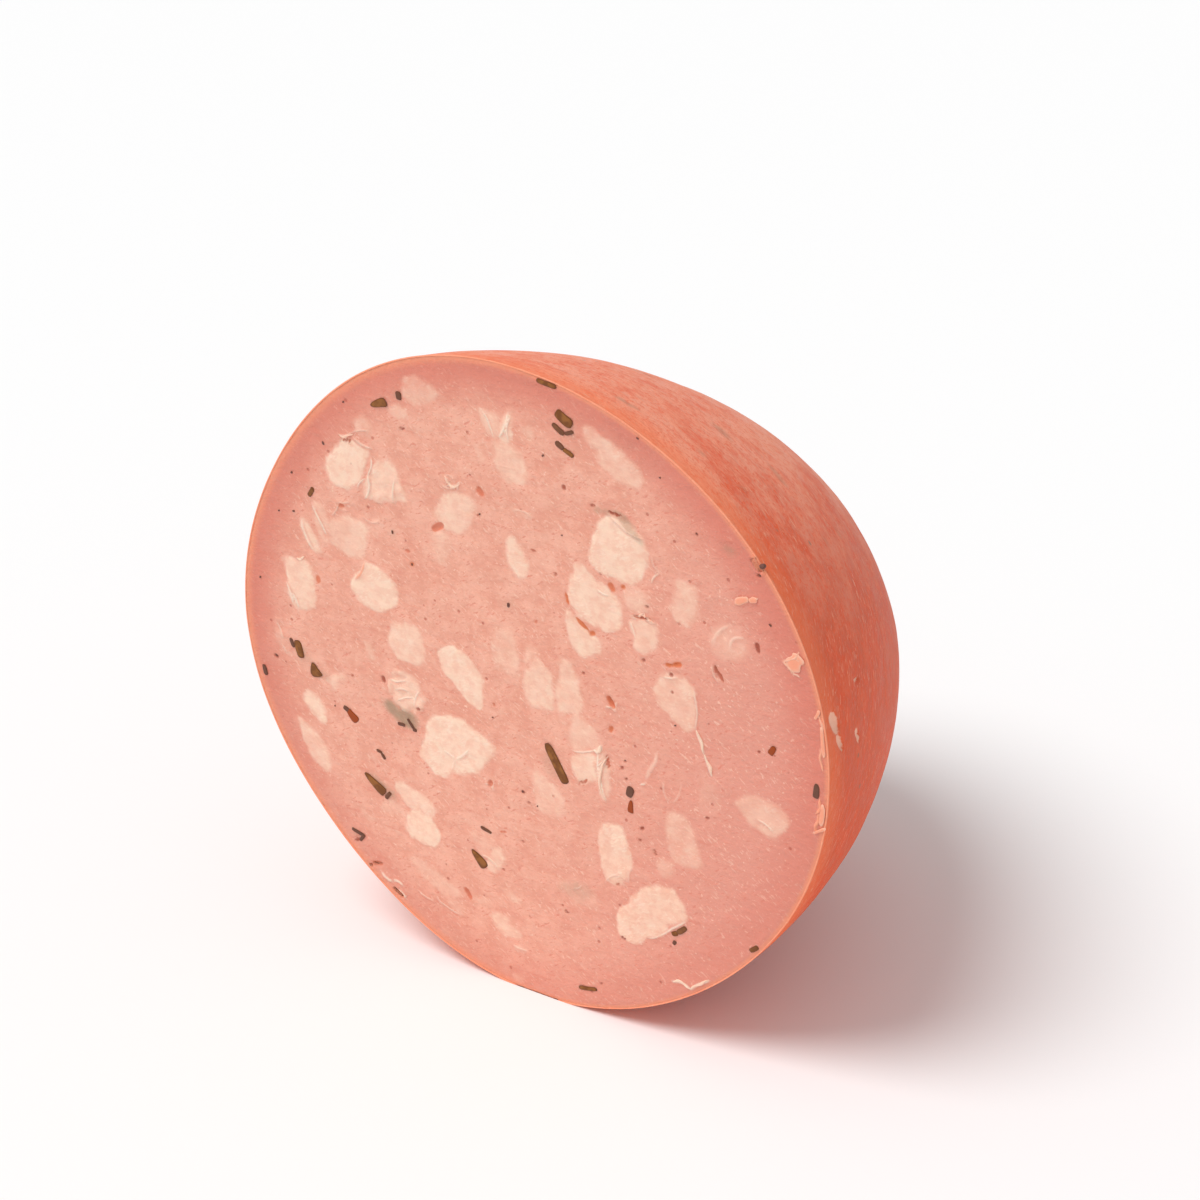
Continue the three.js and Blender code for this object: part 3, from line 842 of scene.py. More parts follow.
class Value:
    """A socket that reads like a number: an expression on it adds the Math nodes."""

    def __init__(self, recipe, socket):
        self.recipe, self.socket = recipe, socket

    def _math(self, operation, *others):
        return self.recipe.node("ShaderNodeMath", {"operation": operation}, [self, *others])

    def __add__(self, other):
        return self._math("ADD", other)

    def __mul__(self, other):
        return self._math("MULTIPLY", other)

    def __sub__(self, other):
        return self._math("SUBTRACT", other)

    def __rsub__(self, other):
        return self.recipe.node("ShaderNodeMath", {"operation": "SUBTRACT"}, [other, self])

    __radd__, __rmul__ = __add__, __mul__

    def __abs__(self):
        return self._math("ABSOLUTE")


class Recipe:
    """A material, put together from nodes."""

    def __init__(self, name):
        self.material = bpy.data.materials.new(name)
        self.material.use_nodes = True
        self.tree = self.material.node_tree
        self.tree.nodes.clear()
        self.place = self.node("ShaderNodeTexCoord", output="Object")

    def node(self, kind, settings=None, values=(), output=0):
        """Adds a node. Its settings come first, then the values or links of its sockets, by order or by
        name."""
        node = self.tree.nodes.new(kind)
        for key, setting in (settings or {}).items():
            setattr(node, key, setting)
        pairs = values.items() if isinstance(values, dict) else enumerate(values)
        for key, value in pairs:
            socket = node.inputs[key]
            if isinstance(value, Value):
                self.tree.links.new(value.socket, socket)
            elif hasattr(value, "__len__") and socket.type == "RGBA":
                socket.default_value = (*value, 1)
            else:
                socket.default_value = value
        return Value(self, node.outputs[output]) if node.outputs else None

    def attributes(self, names):
        """The mesh's values of those names."""
        kind = "ShaderNodeAttribute"
        return [self.node(kind, {"attribute_name": name}, output="Fac") for name in names.split()]

    def stretched(self, scale, turn=(0, 0, 0)):
        """Object coordinates, turned and then made finer along each axis."""
        turned = self.node("ShaderNodeMapping", {}, {"Vector": self.place, "Rotation": turn})
        return self.node("ShaderNodeMapping", {}, {"Vector": turned, "Scale": scale})

    def noise(self, size, detail=2.0, rough=0.5, vector=None, bent=0.0):
        """Noise from 0 to 1 with spots of about that size, in millimetres."""
        values = {"Vector": vector or self.place, "Scale": 1 / (size * MM)}
        values |= {"Detail": detail, "Roughness": rough, "Distortion": bent}
        return self.node("ShaderNodeTexNoise", {}, values)

    def cells(self, size):
        """Scattered points, one to a cell of about that size in millimetres: the distance to the nearest
        one, as a share of the cell, and a random number that belongs to it."""
        values = {"Vector": self.place, "Scale": 1 / (size * MM), "Randomness": 1.0}
        near = self.node("ShaderNodeTexVoronoi", {}, values)
        share = self.node("ShaderNodeSeparateColor", {}, [Value(self, near.socket.node.outputs["Color"])])
        return near, share

    def band(self, value, low, high, bottom=0.0, top=1.0):
        """Bottom below low, top above high, and a smooth slope between them."""
        values = {"Value": value, "From Min": low, "From Max": high, "To Min": bottom, "To Max": top}
        return self.node("ShaderNodeMapRange", {"interpolation_type": "SMOOTHSTEP"}, values)

    def mix(self, first, second, factor):
        """The first colour, turned into the second as the factor goes from 0 to 1."""
        return self.node("ShaderNodeMix", {"data_type": "RGBA"}, {0: factor, 6: first, 7: second}, output=2)

    def toned(self, tone, first, second, third):
        """The first colour at tone 0, the second at 0.5 and the third at 1."""
        half_way = self.mix(first, second, self.band(tone, 0.1, 0.5))
        return self.mix(half_way, third, self.band(tone, 0.5, 1))

    def flesh(self, colour, roughness, bump, depth, specular=0.5, scatter=0.2):
        """Finishes the material as moist flesh: light goes a little way in and comes out redder."""
        normal = self.node("ShaderNodeBump", {}, {"Height": bump, "Distance": depth * MM, "Strength": 1.0})
        shader = self.node(
            "ShaderNodeBsdfPrincipled",
            {},
            {
                "Base Color": colour,
                "Roughness": roughness,
                "Normal": normal,
                "Specular IOR Level": specular,
                "Subsurface Weight": scatter,
                "Subsurface Radius": (1.0, 0.5, 0.35),
                "Subsurface Scale": 0.0008,
            },
        )
        self.node("ShaderNodeOutputMaterial", {}, {"Surface": shader})
        return self.material


def meat_finish(looks):
    """Ground meat with its fat, stains and pits. The mesh gives how far each point lies inside a piece of fat,
    a stain or a pit, and the edges are drawn here, with a fine wander. Painted light is drawn here too: a
    painted highlight on the ridges' crests, a painted shadow on their flanks away from the light, and painted
    glints among the pale flecks."""
    m = Recipe("cut_meat")
    edge, cover, border, stain, pit, pit_tone = m.attributes("edge cover border stain pit pit_tone")
    lip, lip_tone, flush, brink, side = m.attributes("lip lip_tone flush brink side")
    cloud, mottle = m.noise(14, 2), m.noise(5, 4, 0.6)
    ground, grain = m.noise(1.5, 4, 0.65), m.noise(0.45, 2)
    drag = m.noise(1.5, 3, 0.6, m.stretched((0.16, 1, 1)))
    long_scratch = (0.34, 1, 1)
    rising = m.noise(0.55, 1, 0.5, m.stretched(long_scratch, (0, math.radians(32), 0)), 0.5)
    falling = m.noise(0.6, 1, 0.5, m.stretched(long_scratch, (0, math.radians(-38), 0)), 0.5)
    pore, share = m.cells(3.6)

    pale = m.band(mottle * 0.5 + ground * 0.3 + cloud * 0.2, 0.38, 0.62)
    meat = m.mix(looks.meat_deep, looks.meat_pale, pale)
    meat = m.mix(meat, looks.side_meat, flush)
    meat = m.mix(meat, looks.rim_meat, border)
    meat = m.mix(meat, looks.streak_and_painted_shadow, m.band(drag, 0.54, 0.76) * 0.35)
    meat = m.mix(meat, looks.streak_and_painted_shadow, m.band(rising, 0.6, 0.72) * m.band(mottle, 0.4, 0.55) * 0.6)
    scraped = m.band(falling, 0.6, 0.72) * m.band(mottle, 0.6, 0.45)
    meat = m.mix(meat, looks.fleck_and_painted_light, scraped * (1 - border * 0.8) * 0.5)
    # The pale flecks are partly tiny grains of fat and partly painted glints of the wet cut
    flecks = m.noise(0.9, 1, 0.5)
    meat = m.mix(meat, looks.fleck_and_painted_light, m.band(flecks, 0.67, 0.78) * (1 - border * 0.9) * 0.6)
    hollow = m.band(pore + m.band(share, 0.14, 0.2), 0.16, 0.08)

    wander = (m.noise(0.9, 3) - 0.5) * 1.1
    film = m.band(m.noise(2.6, 5, 0.65), 0.42, 0.62)
    cream = m.mix(looks.fat, looks.fat_deep, film * m.band(edge, 2.6, -0.4, 0.5, 1) + flush * 0.6)
    cream = m.mix(cream, looks.vein, m.band(rising, 0.5, 0.66) * m.band(mottle, 0.45, 0.6) * 0.6)
    shown = m.band(edge + wander, -0.9, 1) * cover
    colour = m.mix(meat, cream, shown)
    colour = m.mix(colour, looks.pore, hollow * 0.6 * (1 - shown * 0.8))
    # Ridges: the crest turns to the ridge's paler tone, partly its own colour and partly a painted highlight,
    # and the flank away from the light gets a painted shadow
    there = m.band(lip, 0.08, 0.8)
    crest = m.band(abs(side + wander * 0.3), 1, 0.1) * there
    shadowed_flank = m.band(abs(side + 1.5), 1, 0.1) * there
    colour = m.mix(colour, looks.streak_and_painted_shadow, shadowed_flank * 0.45)
    ridge = m.toned(lip_tone, looks.meat_pale, looks.vein, looks.edge)
    colour = m.mix(colour, ridge, crest * 0.8)
    colour = m.mix(colour, looks.stain, m.band(stain + (ground - 0.5) * 0.4, 0.02, 1) * 0.9)
    hole = m.toned(pit_tone, looks.pit, looks.pit_pink, looks.pit_orange)
    colour = m.mix(colour, hole, m.band(pit + wander * 0.25, -0.3, 0.3) * 0.85)
    colour = m.mix(colour, looks.edge, brink * 0.8)
    roughness = m.band(ground, 0.3, 0.7, looks.roughness - 0.1, looks.roughness + 0.08) - shown * 0.08
    plain = 1 - shown * 0.85
    fine = mottle * 0.8 + ground * plain * 0.7 + grain * plain * 0.12 + drag * 0.3
    bump = fine + (falling - rising) * plain * 0.12 + shown * 0.2 + crest * 0.35 - hollow * 0.3
    return m.flesh(colour, roughness, bump, 0.5)


# Turn that lays the skin's noise along the loaf's axis
ALONG_LOAF = (math.radians(16.8), 0, math.radians(-6.7))


def casing_finish(looks):
    """The taut skin: satin orange pink, mottled, with pale flecks that run round the loaf. To the right and
    below it turns deeper and redder as painted shade, away from the light. It is bare and pale where it was
    torn."""
    m = Recipe("casing_skin")
    rim, grey, torn, shade = m.attributes("rim grey torn shade")
    cloud, mottle, fine = m.noise(20, 3, 0.6), m.noise(6, 5, 0.7), m.noise(1.1, 4, 0.65)
    flecks = m.noise(1.5, 2, 0.6, m.stretched((0.7, 1.4, 0.7), ALONG_LOAF))
    dashes = m.noise(0.9, 1, 0.5, m.stretched((0.42, 1.5, 0.42), ALONG_LOAF), 0.6)
    streaks = m.noise(3.4, 4, 0.65, m.stretched((0.7, 1.3, 0.7), ALONG_LOAF))
    # Painted shade: towards the lower right, away from the light, the skin turns deeper and redder, and its
    # pale mottling and flecks fade
    lit = 1 - shade * 0.85
    speck, rare = m.cells(9)
    skin = m.mix(looks.skin, looks.skin_in_painted_shade, m.band(shade + (cloud - 0.5) * 1.2, -0.05, 0.85) * 0.95)
    skin = m.mix(skin, looks.skin_red, m.band(streaks * 0.4 + mottle * 0.3 + cloud * 0.3, 0.46, 0.58) * 0.6)
    skin = m.mix(skin, looks.skin_pale, m.band(mottle, 0.46, 0.64) * lit * 0.6)
    skin = m.mix(skin, looks.skin_red, m.band(fine, 0.5, 0.36) * 0.55)
    skin = m.mix(skin, looks.fleck_and_painted_light, m.band(flecks, 0.58, 0.74) * lit * 0.4)
    skin = m.mix(skin, looks.edge, m.band(rim + (mottle - 0.5) * 12, 14, 0) * 0.6)
    # Paler right along the lip: painted light that evens out the shade where the lip curves away from the
    # light
    skin = m.mix(skin, looks.fleck_and_painted_light, m.band(rim, 0.6, 0.1) * 0.5)
    skin = m.mix(skin, looks.fleck_and_painted_light, m.band(dashes, 0.61, 0.73) * m.band(cloud, 0.34, 0.56) * 0.6)
    skin = m.mix(skin, looks.grey, m.band(speck + m.band(rare, 0.3, 0.36), 0.1, 0.04) * 0.7)
    skin = m.mix(skin, looks.grey, m.band(grey + (mottle - 0.5) * 4, -1.6, 2) * 0.45)
    skin = m.mix(skin, looks.bare, m.band(torn + (mottle - 0.5) * 3 + (fine - 0.5) * 1.5, -0.3, 0.5))
    roughness = m.band(mottle, 0.35, 0.65, looks.roughness - 0.06, looks.roughness + 0.1)
    bump = mottle * 1.3 + streaks * 0.4 + flecks * 0.3 + dashes * 0.2 + fine * 0.3
    return m.flesh(skin, roughness, bump, 0.5, specular=0.04, scatter=0.0)


def olive_finish(looks):
    """Sliced olive: brown green, with a dark outline and a fine grain; the tone value goes over near black
    to a red brown."""
    m = Recipe("olive_flesh")
    tone, belt = m.attributes("tone belt")
    patch = m.noise(2.2, 3)
    green = m.mix(looks.olive, looks.olive_pale, m.band(patch, 0.4, 0.65) * m.band(belt, 0.98, 0.7))
    colour = m.mix(green, looks.olive_red, m.band(tone + (patch - 0.5) * 0.3, 0.55, 0.85))
    colour = m.mix(colour, looks.olive_black, m.band(tone, 0.05, 0.4) * m.band(tone, 0.8, 0.55))
    colour = m.mix(colour, looks.olive_black, m.band(belt + (patch - 0.5) * 0.2, 0.86, 1.02) * 0.6)
    return m.flesh(colour, m.band(patch, 0.3, 0.7, 0.4, 0.55), patch, 0.15, specular=0.25, scatter=0.0)


def curl_finish(looks):
    """Thin curls: the tone value goes from meat over fat to the orange of the casing."""
    m = Recipe("curls")
    (tone,) = m.attributes("tone")
    ground = m.noise(1.2, 3)
    colour = m.toned(tone, looks.meat_pale, looks.fat, looks.edge)
    colour = m.mix(colour, looks.meat_deep, m.band(ground, 0.5, 0.75) * 0.3)
    return m.flesh(colour, m.band(ground, 0.3, 0.7, 0.38, 0.5), ground, 0.1)


def pepper_finish(looks):
    """Black pepper, wrinkled."""
    m = Recipe("pepper_skin")
    wrinkle = m.noise(0.5, 3)
    colour = m.mix(looks.pepper, looks.olive_black, m.band(wrinkle, 0.4, 0.6))
    return m.flesh(colour, m.band(wrinkle, 0.3, 0.7, 0.45, 0.6), wrinkle, 0.3, specular=0.3, scatter=0.0)


# --------------------------------------------------------------------------------------------------
# Settings
# --------------------------------------------------------------------------------------------------


def length_setting(name, description, default):
    return FloatProperty(name=name, description=description, default=default, unit="LENGTH")


def angle_setting(name, description, degrees):
    return FloatProperty(name=name, description=description, default=math.radians(degrees), unit="ROTATION")


def colour_setting(name, description, colour):
    return FloatVectorProperty(
        name=name, description=description, default=colour, subtype="COLOR", min=0, max=1
    )


def number_setting(name, description, default):
    return FloatProperty(name=name, description=description, default=default)


class LoafSizes(bpy.types.PropertyGroup):
    """The loaf's driving sizes, the same as the solid's."""

    length: length_setting("Loaf length", "Length of the whole loaf before it was cut", 0.320)
    thickness: length_setting("Loaf thickness", "Thickness of the whole loaf at its middle", 0.1728)
    cut_past_middle: length_setting("Cut past middle", "How far behind the middle the loaf was cut", 0.0163)
    axis_turn: angle_setting("Axis turn", "Turn of the loaf's axis to the left of straight back", 7)
    axis_dip: angle_setting("Axis dip", "How far the far end dips below level", 16.8)
    face_lean: angle_setting("Face lean", "How far the top of the cut face leans forward", 5.6)
    casing_thickness: length_setting("Casing thickness", "Thickness of the skin, seen at the cut", 0.0004)
    face_rings: IntProperty(name="Face rings", description="Rings of points", default=148, min=8)
    casing_columns: IntProperty(name="Casing columns", description="Points round it", default=640, min=16)


class MeatLooks(bpy.types.PropertyGroup):
    """Colours of the cut."""

    meat_pale: colour_setting("Meat, pale", "Lighter grounds of the meat", srgb(244, 180, 156))
    meat_deep: colour_setting("Meat, deep", "Deeper grounds of the meat", srgb(232, 158, 134))
    rim_meat: colour_setting("Meat at the rim", "Meat next to the casing", srgb(220, 124, 104))
    side_meat: colour_setting("Meat at the side", "Cooler meat, to the right", srgb(228, 150, 131))
    # Drag marks, and also the painted shadow on the ridges' flanks away from the light
    streak_and_painted_shadow: colour_setting("Streak", "Drag marks of the knife", srgb(220, 124, 102))
    # Grains of fat, and also painted glints of the wet cut
    fleck_and_painted_light: colour_setting("Fleck", "Tiny grains of fat in the meat", srgb(252, 206, 182))
    pore: colour_setting("Pore", "Bottom of the tiny pores in the meat", srgb(186, 82, 58))
    fat: colour_setting("Fat", "Clean pieces of fat", srgb(251, 213, 188))
    fat_deep: colour_setting("Fat, deep", "Fat with a film of meat on it", srgb(242, 188, 162))
    vein: colour_setting("Vein", "Creases and lifted edges of the fat", srgb(254, 224, 202))
    stain: colour_setting("Stain", "Grey green stain round olives and pepper", srgb(164, 136, 108))
    pit: colour_setting("Pit", "Dark red brown inside of pits", srgb(160, 62, 34))
    pit_pink: colour_setting("Pit, pink", "Pink red inside of pits", srgb(220, 120, 88))
    pit_orange: colour_setting("Pit, orange", "Orange inside of pits", srgb(222, 112, 52))
    edge: colour_setting("Curl edge", "Orange edge of torn skin", srgb(248, 150, 114))
    olive: colour_setting("Olive", "Olive slivers", srgb(118, 66, 20))
    olive_pale: colour_setting("Olive, pale", "Lighter flesh of the olive", srgb(150, 94, 42))
    olive_black: colour_setting("Black", "Near black olive skin and pepper", srgb(108, 68, 52))
    pepper: colour_setting("Pepper", "Specks of pepper under a film of meat", srgb(118, 76, 68))
    olive_red: colour_setting("Olive, red", "Red brown slivers", srgb(156, 66, 16))
    roughness: number_setting("Roughness", "Roughness of the cut", 0.5)


class CasingLooks(bpy.types.PropertyGroup):
    """Colours of the casing."""

    skin: colour_setting("Skin", "Skin in the light", srgb(255, 164, 134))
    # Painted shade: the colour the skin turns to on the right and below, away from the light
    skin_in_painted_shade: colour_setting("Skin, deep", "Skin to the right and below", srgb(224, 94, 59))
    skin_pale: colour_setting("Skin, pale", "Paler mottling", srgb(255, 168, 138))
    skin_red: colour_setting("Skin, red", "Redder streaks that run round the loaf", srgb(242, 92, 50))
    # Pale flecks, and also the painted light along the lip
    fleck_and_painted_light: colour_setting("Fleck", "Pale flecks in the skin", srgb(255, 182, 150))
    edge: colour_setting("Edge", "Cut edge of the skin", srgb(255, 132, 86))
    grey: colour_setting("Grey spots", "Olive and pepper that show through the skin", srgb(164, 122, 100))
    bare: colour_setting("Bare fat", "Fat where the skin was torn", srgb(255, 196, 170))
    roughness: number_setting("Roughness", "Roughness of the skin", 0.45)


class StageLooks(bpy.types.PropertyGroup):
    """Floor, light and camera."""

    floor: colour_setting("Floor", "Plain pale floor", (0.96, 0.96, 0.96))
    floor_reach: length_setting("Floor reach", "Half the floor's width", 6.0)
    sky: number_setting("Sky", "Strength of the white light from all round", 0.5)
    sun: number_setting("Sun", "Strength of the soft sun", 2.0)
    sun_spread: angle_setting("Sun spread", "How wide the sun looks from the floor", 30)
    sun_way: FloatVectorProperty(
        name="Sun way", description="The way in which the sun's light goes", default=(0.22, 0.48, -0.85)
    )
    camera_reach: length_setting("Camera reach", "Distance from the face's centre to the camera", 0.8534)
    camera_azimuth: angle_setting("Camera azimuth", "Where the camera stands round the face's centre", 35.215)
    camera_height: angle_setting("Camera height", "How high the camera stands over the face's centre", 26.955)
    camera_heading: angle_setting("Camera heading", "Way the camera looks, round the upright", 33.8)
    camera_pitch: angle_setting("Camera pitch", "How far the camera looks down", 25.4)
    lens: number_setting("Lens", "Focal length in millimetres, on a sensor 36 mm wide", 104.3)


# --------------------------------------------------------------------------------------------------
# Pieces
# --------------------------------------------------------------------------------------------------


# Relief in millimetres, as layers of soft noise: height, cell and seed
FACE_WAVES = ((0.3, 30, 21), (0.17, 9, 22), (0.08, 4, 26))
FACE_GRAIN = ((0.04, 2, 23), (0.03, 1.2, 24))
FACE_DRAG = ((0.05, 2.4, 25),)
EDGE_WANDER = ((1, 2.2, 13), (0.6, 1.2, 14))
PATCHY_FAT = ((0.16, 5, 15), (0.14, 2, 16))
CASING_WAVES = ((0.35, 32, 31), (0.12, 10, 32), (0.03, 3, 33))
LIP_WAVES = ((0.08, 9, 34),)

# What the mesh of the cut tells its finish
FACE_VALUES = "edge cover border brink stain pit pit_tone lip lip_tone side flush".split()


class FacePlan:
    """What lies where on the cut, worked out for an array of places."""

    # How far noise bends all outlines, and how long the drag marks are drawn out
    BENT = 0.45
    DRAWN_OUT = np.array([0.15, 1, 1])
    # Heights of fat, meat, very ragged fat, the groove round fat, and the rounding at the rim
    FAT_STANDS, MEAT_LIES, TORN, GROOVE, ROUNDED = 0.28, -0.12, 0.22, -0.07, -0.12
    VERY_RAGGED = 0.9
    # Outlines of fat: how far out they are pushed, and how they wander where fat is clean and where ragged
    PUSHED_OUT, CLEAN_WANDER, RAGGED_WANDER = 0.3, 0.12, 0.5
    # Their softness: for white fat, what less white fat adds, and what noise adds
    SOFT_WHITE, SOFT_PALE, SOFT_NOISE = 0.62, 0.8, 0.28
    # The raised border of a pit: its height, how far out it lies and how wide it is
    BORDER_HEIGHT, BORDER_OUT, BORDER_WIDTH = 0.2, 0.55, 0.45
    # A ridge is this much wider than its crest, and shows in full from this height on
    FOOT, SHOWS_FROM = 0.3, 0.4
    # How far in the meat is darker at the casing, and how far the skin's orange has rubbed off, left and right
    DARK_RIM, RUBBED_LEFT, RUBBED_RIGHT = 17, 2.8, 1.2
    # Distances from the rim over which the raised things and the broad waves fade in
    FADE_FINE, FADE_BROAD = 1.2, 6

    def __init__(self, loaf, x, y):
        flat = np.stack([x, y, np.zeros_like(x)], -1)
        self.rim = loaf.rim(np.arctan2(y, x)) - loaf.skin - np.hypot(x, y)
        bent_x = x + self.BENT * soft_noise(flat, 5, 11)
        bent_y = y + self.BENT * soft_noise(flat, 5, 12)
        wander = layered(flat, EDGE_WANDER)
        self.fat_and_white(bent_x, bent_y, flat, wander)
        self.stains(bent_x * 2 - x, bent_y * 2 - y, wander)
        self.pits(x, y)
        self.ridges(bent_x, bent_y)
        self.border = soft_step(self.rim, self.DARK_RIM, 1) * (0.45 + 0.45 * soft_step(y, -75, 10))
        rubbed = self.RUBBED_LEFT - (self.RUBBED_LEFT - self.RUBBED_RIGHT) * soft_step(x, -40, 30)
        self.brink = soft_step(self.rim, rubbed, 0.2)
        self.flush = soft_step(x - y * 0.3, 0, 80) * 0.95
        self.height = self.relief(flat, wander)

    def fat_and_white(self, x, y, flat, wander):
        """The depth inside the nearest piece of fat, with its whiteness and raggedness."""
        self.fat = np.full(x.shape, -4.0)
        self.white, self.ragged = np.zeros_like(x), np.zeros_like(x)
        for fat in FAT:
            rough = wander * (self.CLEAN_WANDER + fat.ragged * self.RAGGED_WANDER)
            here = inside_outline(x, y, fat.corners) + self.PUSHED_OUT + rough
            closer = here > self.fat
            self.fat = np.where(closer, here, self.fat)
            self.white = np.where(closer, fat.white, self.white)
            self.ragged = np.where(closer, fat.ragged, self.ragged)
        patchy = layered(flat, PATCHY_FAT)
        self.cover = np.clip(self.white * 0.97 + patchy * (1.1 - self.white * 0.4), 0, 1)
        softness = self.SOFT_WHITE + self.SOFT_PALE * (1 - self.white)
        self.edge = np.clip(self.fat / (softness + self.SOFT_NOISE * soft_noise(flat, 7, 17)), -2, 2)

    def stains(self, x, y, wander):
        """How strongly the nearest stain shows."""
        self.stain = np.zeros_like(x)
        for stain in STAINS:
            here = on_oblong(x, y, *stain[:5])
            shown = stain.depth * soft_step(here + 0.4 * wander, -1.2, stain.width / 2)
            self.stain = np.maximum(self.stain, shown)

    def pits(self, x, y):
        """The depth of the nearest pit, its tone, and how far it sinks below the cut and lifts its
        border."""
        self.pit, self.pit_tone, self.sunk = np.full_like(x, -3.0), np.zeros_like(x), np.zeros_like(x)
        for pit in PITS:
            here = on_oblong(x, y, *pit[:5])
            self.pit_tone = np.where(here > self.pit, pit.tone, self.pit_tone)
            self.pit = np.maximum(self.pit, here)
            border = self.BORDER_HEIGHT * np.exp(-(((here + self.BORDER_OUT) / self.BORDER_WIDTH) ** 2))
            self.sunk += pit.depth * (soft_step(here, -0.3, pit.width / 2) - border)

    def ridges(self, x, y):
        """How much the ridges raise the cut, how clearly they show, the place across them, positive on the lit
        side, which places the finish's painted highlight and shadow, and their tone."""
        self.raised, self.lip, self.lip_tone = np.zeros_like(x), np.zeros_like(x), np.zeros_like(x)
        self.side = np.full_like(x, 3.0)
        for ridge in RIDGES:
            side, along = off_arc(x, y, ridge)
            swell = np.clip(4 * along * (1 - along) + 0.3, 0, 1)
            shape = np.exp(-((side / (self.FOOT + ridge.width * 0.5)) ** 2)) * swell
            clear = shape * min(1, ridge.height / self.SHOWS_FROM)
            closer = clear > self.lip
            self.lip_tone = np.where(closer, ridge.tone, self.lip_tone)
            self.side = np.where(closer, np.clip(side / (ridge.width * 0.5), -3, 3), self.side)
            self.lip = np.maximum(self.lip, clear)
            self.raised = np.maximum(self.raised, shape * ridge.height * 0.5)

    def relief(self, flat, wander):
        """Height of the cut: fat stands up and has a groove round it, pits sink, and all dies out at the
        rim."""
        waves, grain = layered(flat, FACE_WAVES), layered(flat, FACE_GRAIN)
        drag = layered(flat * self.DRAWN_OUT, FACE_DRAG)
        plateau = self.FAT_STANDS * self.white * soft_step(self.fat, -0.8, 1.2) + self.MEAT_LIES
        torn = self.TORN * self.ragged * wander * soft_step(self.fat, -0.2, 0.8)
        torn = torn * (self.ragged > self.VERY_RAGGED)
        groove = self.GROOVE * np.exp(-((self.fat + 0.2) ** 2) / 0.2) * self.white
        middle = soft_step(self.rim, 0.2, self.FADE_BROAD)
        inner = soft_step(self.rim, 0, self.FADE_FINE)
        height = (waves + plateau + torn + groove) * middle + grain + drag
        return height + self.raised * inner - self.sunk + self.ROUNDED * (1 - inner) ** 2


def face_heights(loaf, places):
    """Height of the cut at single places, for what is set into it."""
    places = np.asarray(places, float)
    return FacePlan(loaf, places[..., 0], places[..., 1]).height


def on_axis(loaf, height):
    """The one point over the middle of the face at that height, as a row of points."""
    return loaf.face(np.zeros(1), np.zeros(1), np.array([height]))


# The outside of the casing goes over about this arc, from the rim to the far pole, in millimetres
CASING_ARC = 236.0
# Its rows of points: how many, and the first and the last step between them, in millimetres
CASING_STEPS = ((26, 0.55, 0.55), (20, 0.6, 2.2), (200, 2.2, 2.2))
# ... the last of which stays at least this far from the pole
POLE_GAP = 2
# Share of the skin's thickness at which the casing's first row and the edge of the meat stand off the rim
SET_IN = 0.6
# The casing's waves push it away from a point this far behind the cut
HEART = 40
# How deep the skin is torn off
TEAR_DEPTH = 0.9
# The rounded lip, and the hidden wall and cones that close the pieces
LIP_ROWS = 6
LIP_BELOW = -0.15
WALL_IN, WALL_BACK = 1.6, -3.0
CASING_CLOSES, MEAT_CLOSES = -14.0, -8.0
# The way round the loaf shrinks with the cosine of the distance from the rim over this length, up to an angle
SHRINKS, SHRINKS_TO = 160, 1.4
# How far to the right and down the skin's painted shade goes from one end of its range to the other
SHADE_RIGHT, SHADE_DOWN = 90, 120
# The disc's points draw together at the rim, by share - CROWD * share^POWER
CROWD, POWER = 0.0225, 30


def nearest_spot(loaf, angle, fromrim, spots):
    """How far inside one of the spots each place of the skin lies, as if the skin near it were unrolled."""
    inside = []
    for spot in spots:
        gap = (angle - math.radians(spot.angle) + math.pi) % (2 * math.pi) - math.pi
        way_round = gap * loaf.round * np.cos(np.clip(fromrim / SHRINKS, 0, SHRINKS_TO))
        inside.append(on_oblong(way_round, fromrim, 0, spot.behind, spot.length, spot.width, spot.turn))
    return np.maximum.reduce(inside)


def side_shade(points):
    """How deep the casing's painted shade lies: 0 on the upper left of the casing, towards the light, and 1 on
    its lower right.
    """
    return soft_step(points[..., 0] / SHADE_RIGHT - points[..., 2] / SHADE_DOWN, -1.15, 0.3)


def casing_outside(loaf, angle):
    """Points of the casing's outside, row by row from the rim, and the values that its finish reads."""
    steps = np.concatenate([np.linspace(first, last, count) for count, first, last in CASING_STEPS])
    marks = np.cumsum(steps)
    marks = np.append(0, marks[marks < CASING_ARC - POLE_GAP])
    angles, shares = np.meshgrid(angle, (marks + SET_IN * loaf.skin) / CASING_ARC)
    points, fromrim = loaf.casing(angles, shares), shares * CASING_ARC
    away = unit(points - loaf.centre + loaf.out * HEART)
    torn = nearest_spot(loaf, angles, fromrim, TEARS)
    dent = layered(points, CASING_WAVES) * soft_step(fromrim, 0, 8) - TEAR_DEPTH * soft_step(torn, -0.3, 1.2)
    points = points + away * dent[..., None]
    grey = nearest_spot(loaf, angles, fromrim, GREY_SPOTS)
    return points, {"rim": fromrim, "grey": grey, "torn": torn, "shade": side_shade(points)}


def casing_lip(loaf, angle):
    """A row of the hidden wall inside the casing, and the rows of the rounded lip that shows at the cut."""
    rim, half = loaf.rim(angle), loaf.skin / 2
    wave = layered(loaf.face(rim * np.cos(angle), rim * np.sin(angle), 0 * angle), LIP_WAVES)
    circles = [(rim - loaf.skin - WALL_IN, np.full_like(angle, WALL_BACK))]
    for turn in np.linspace(0, math.pi, LIP_ROWS):
        circles.append((rim - half - half * math.cos(turn), LIP_BELOW + wave + half * math.sin(turn)))
    rows = [loaf.face(radius * np.cos(angle), radius * np.sin(angle), height) for radius, height in circles]
    return np.array(rows)


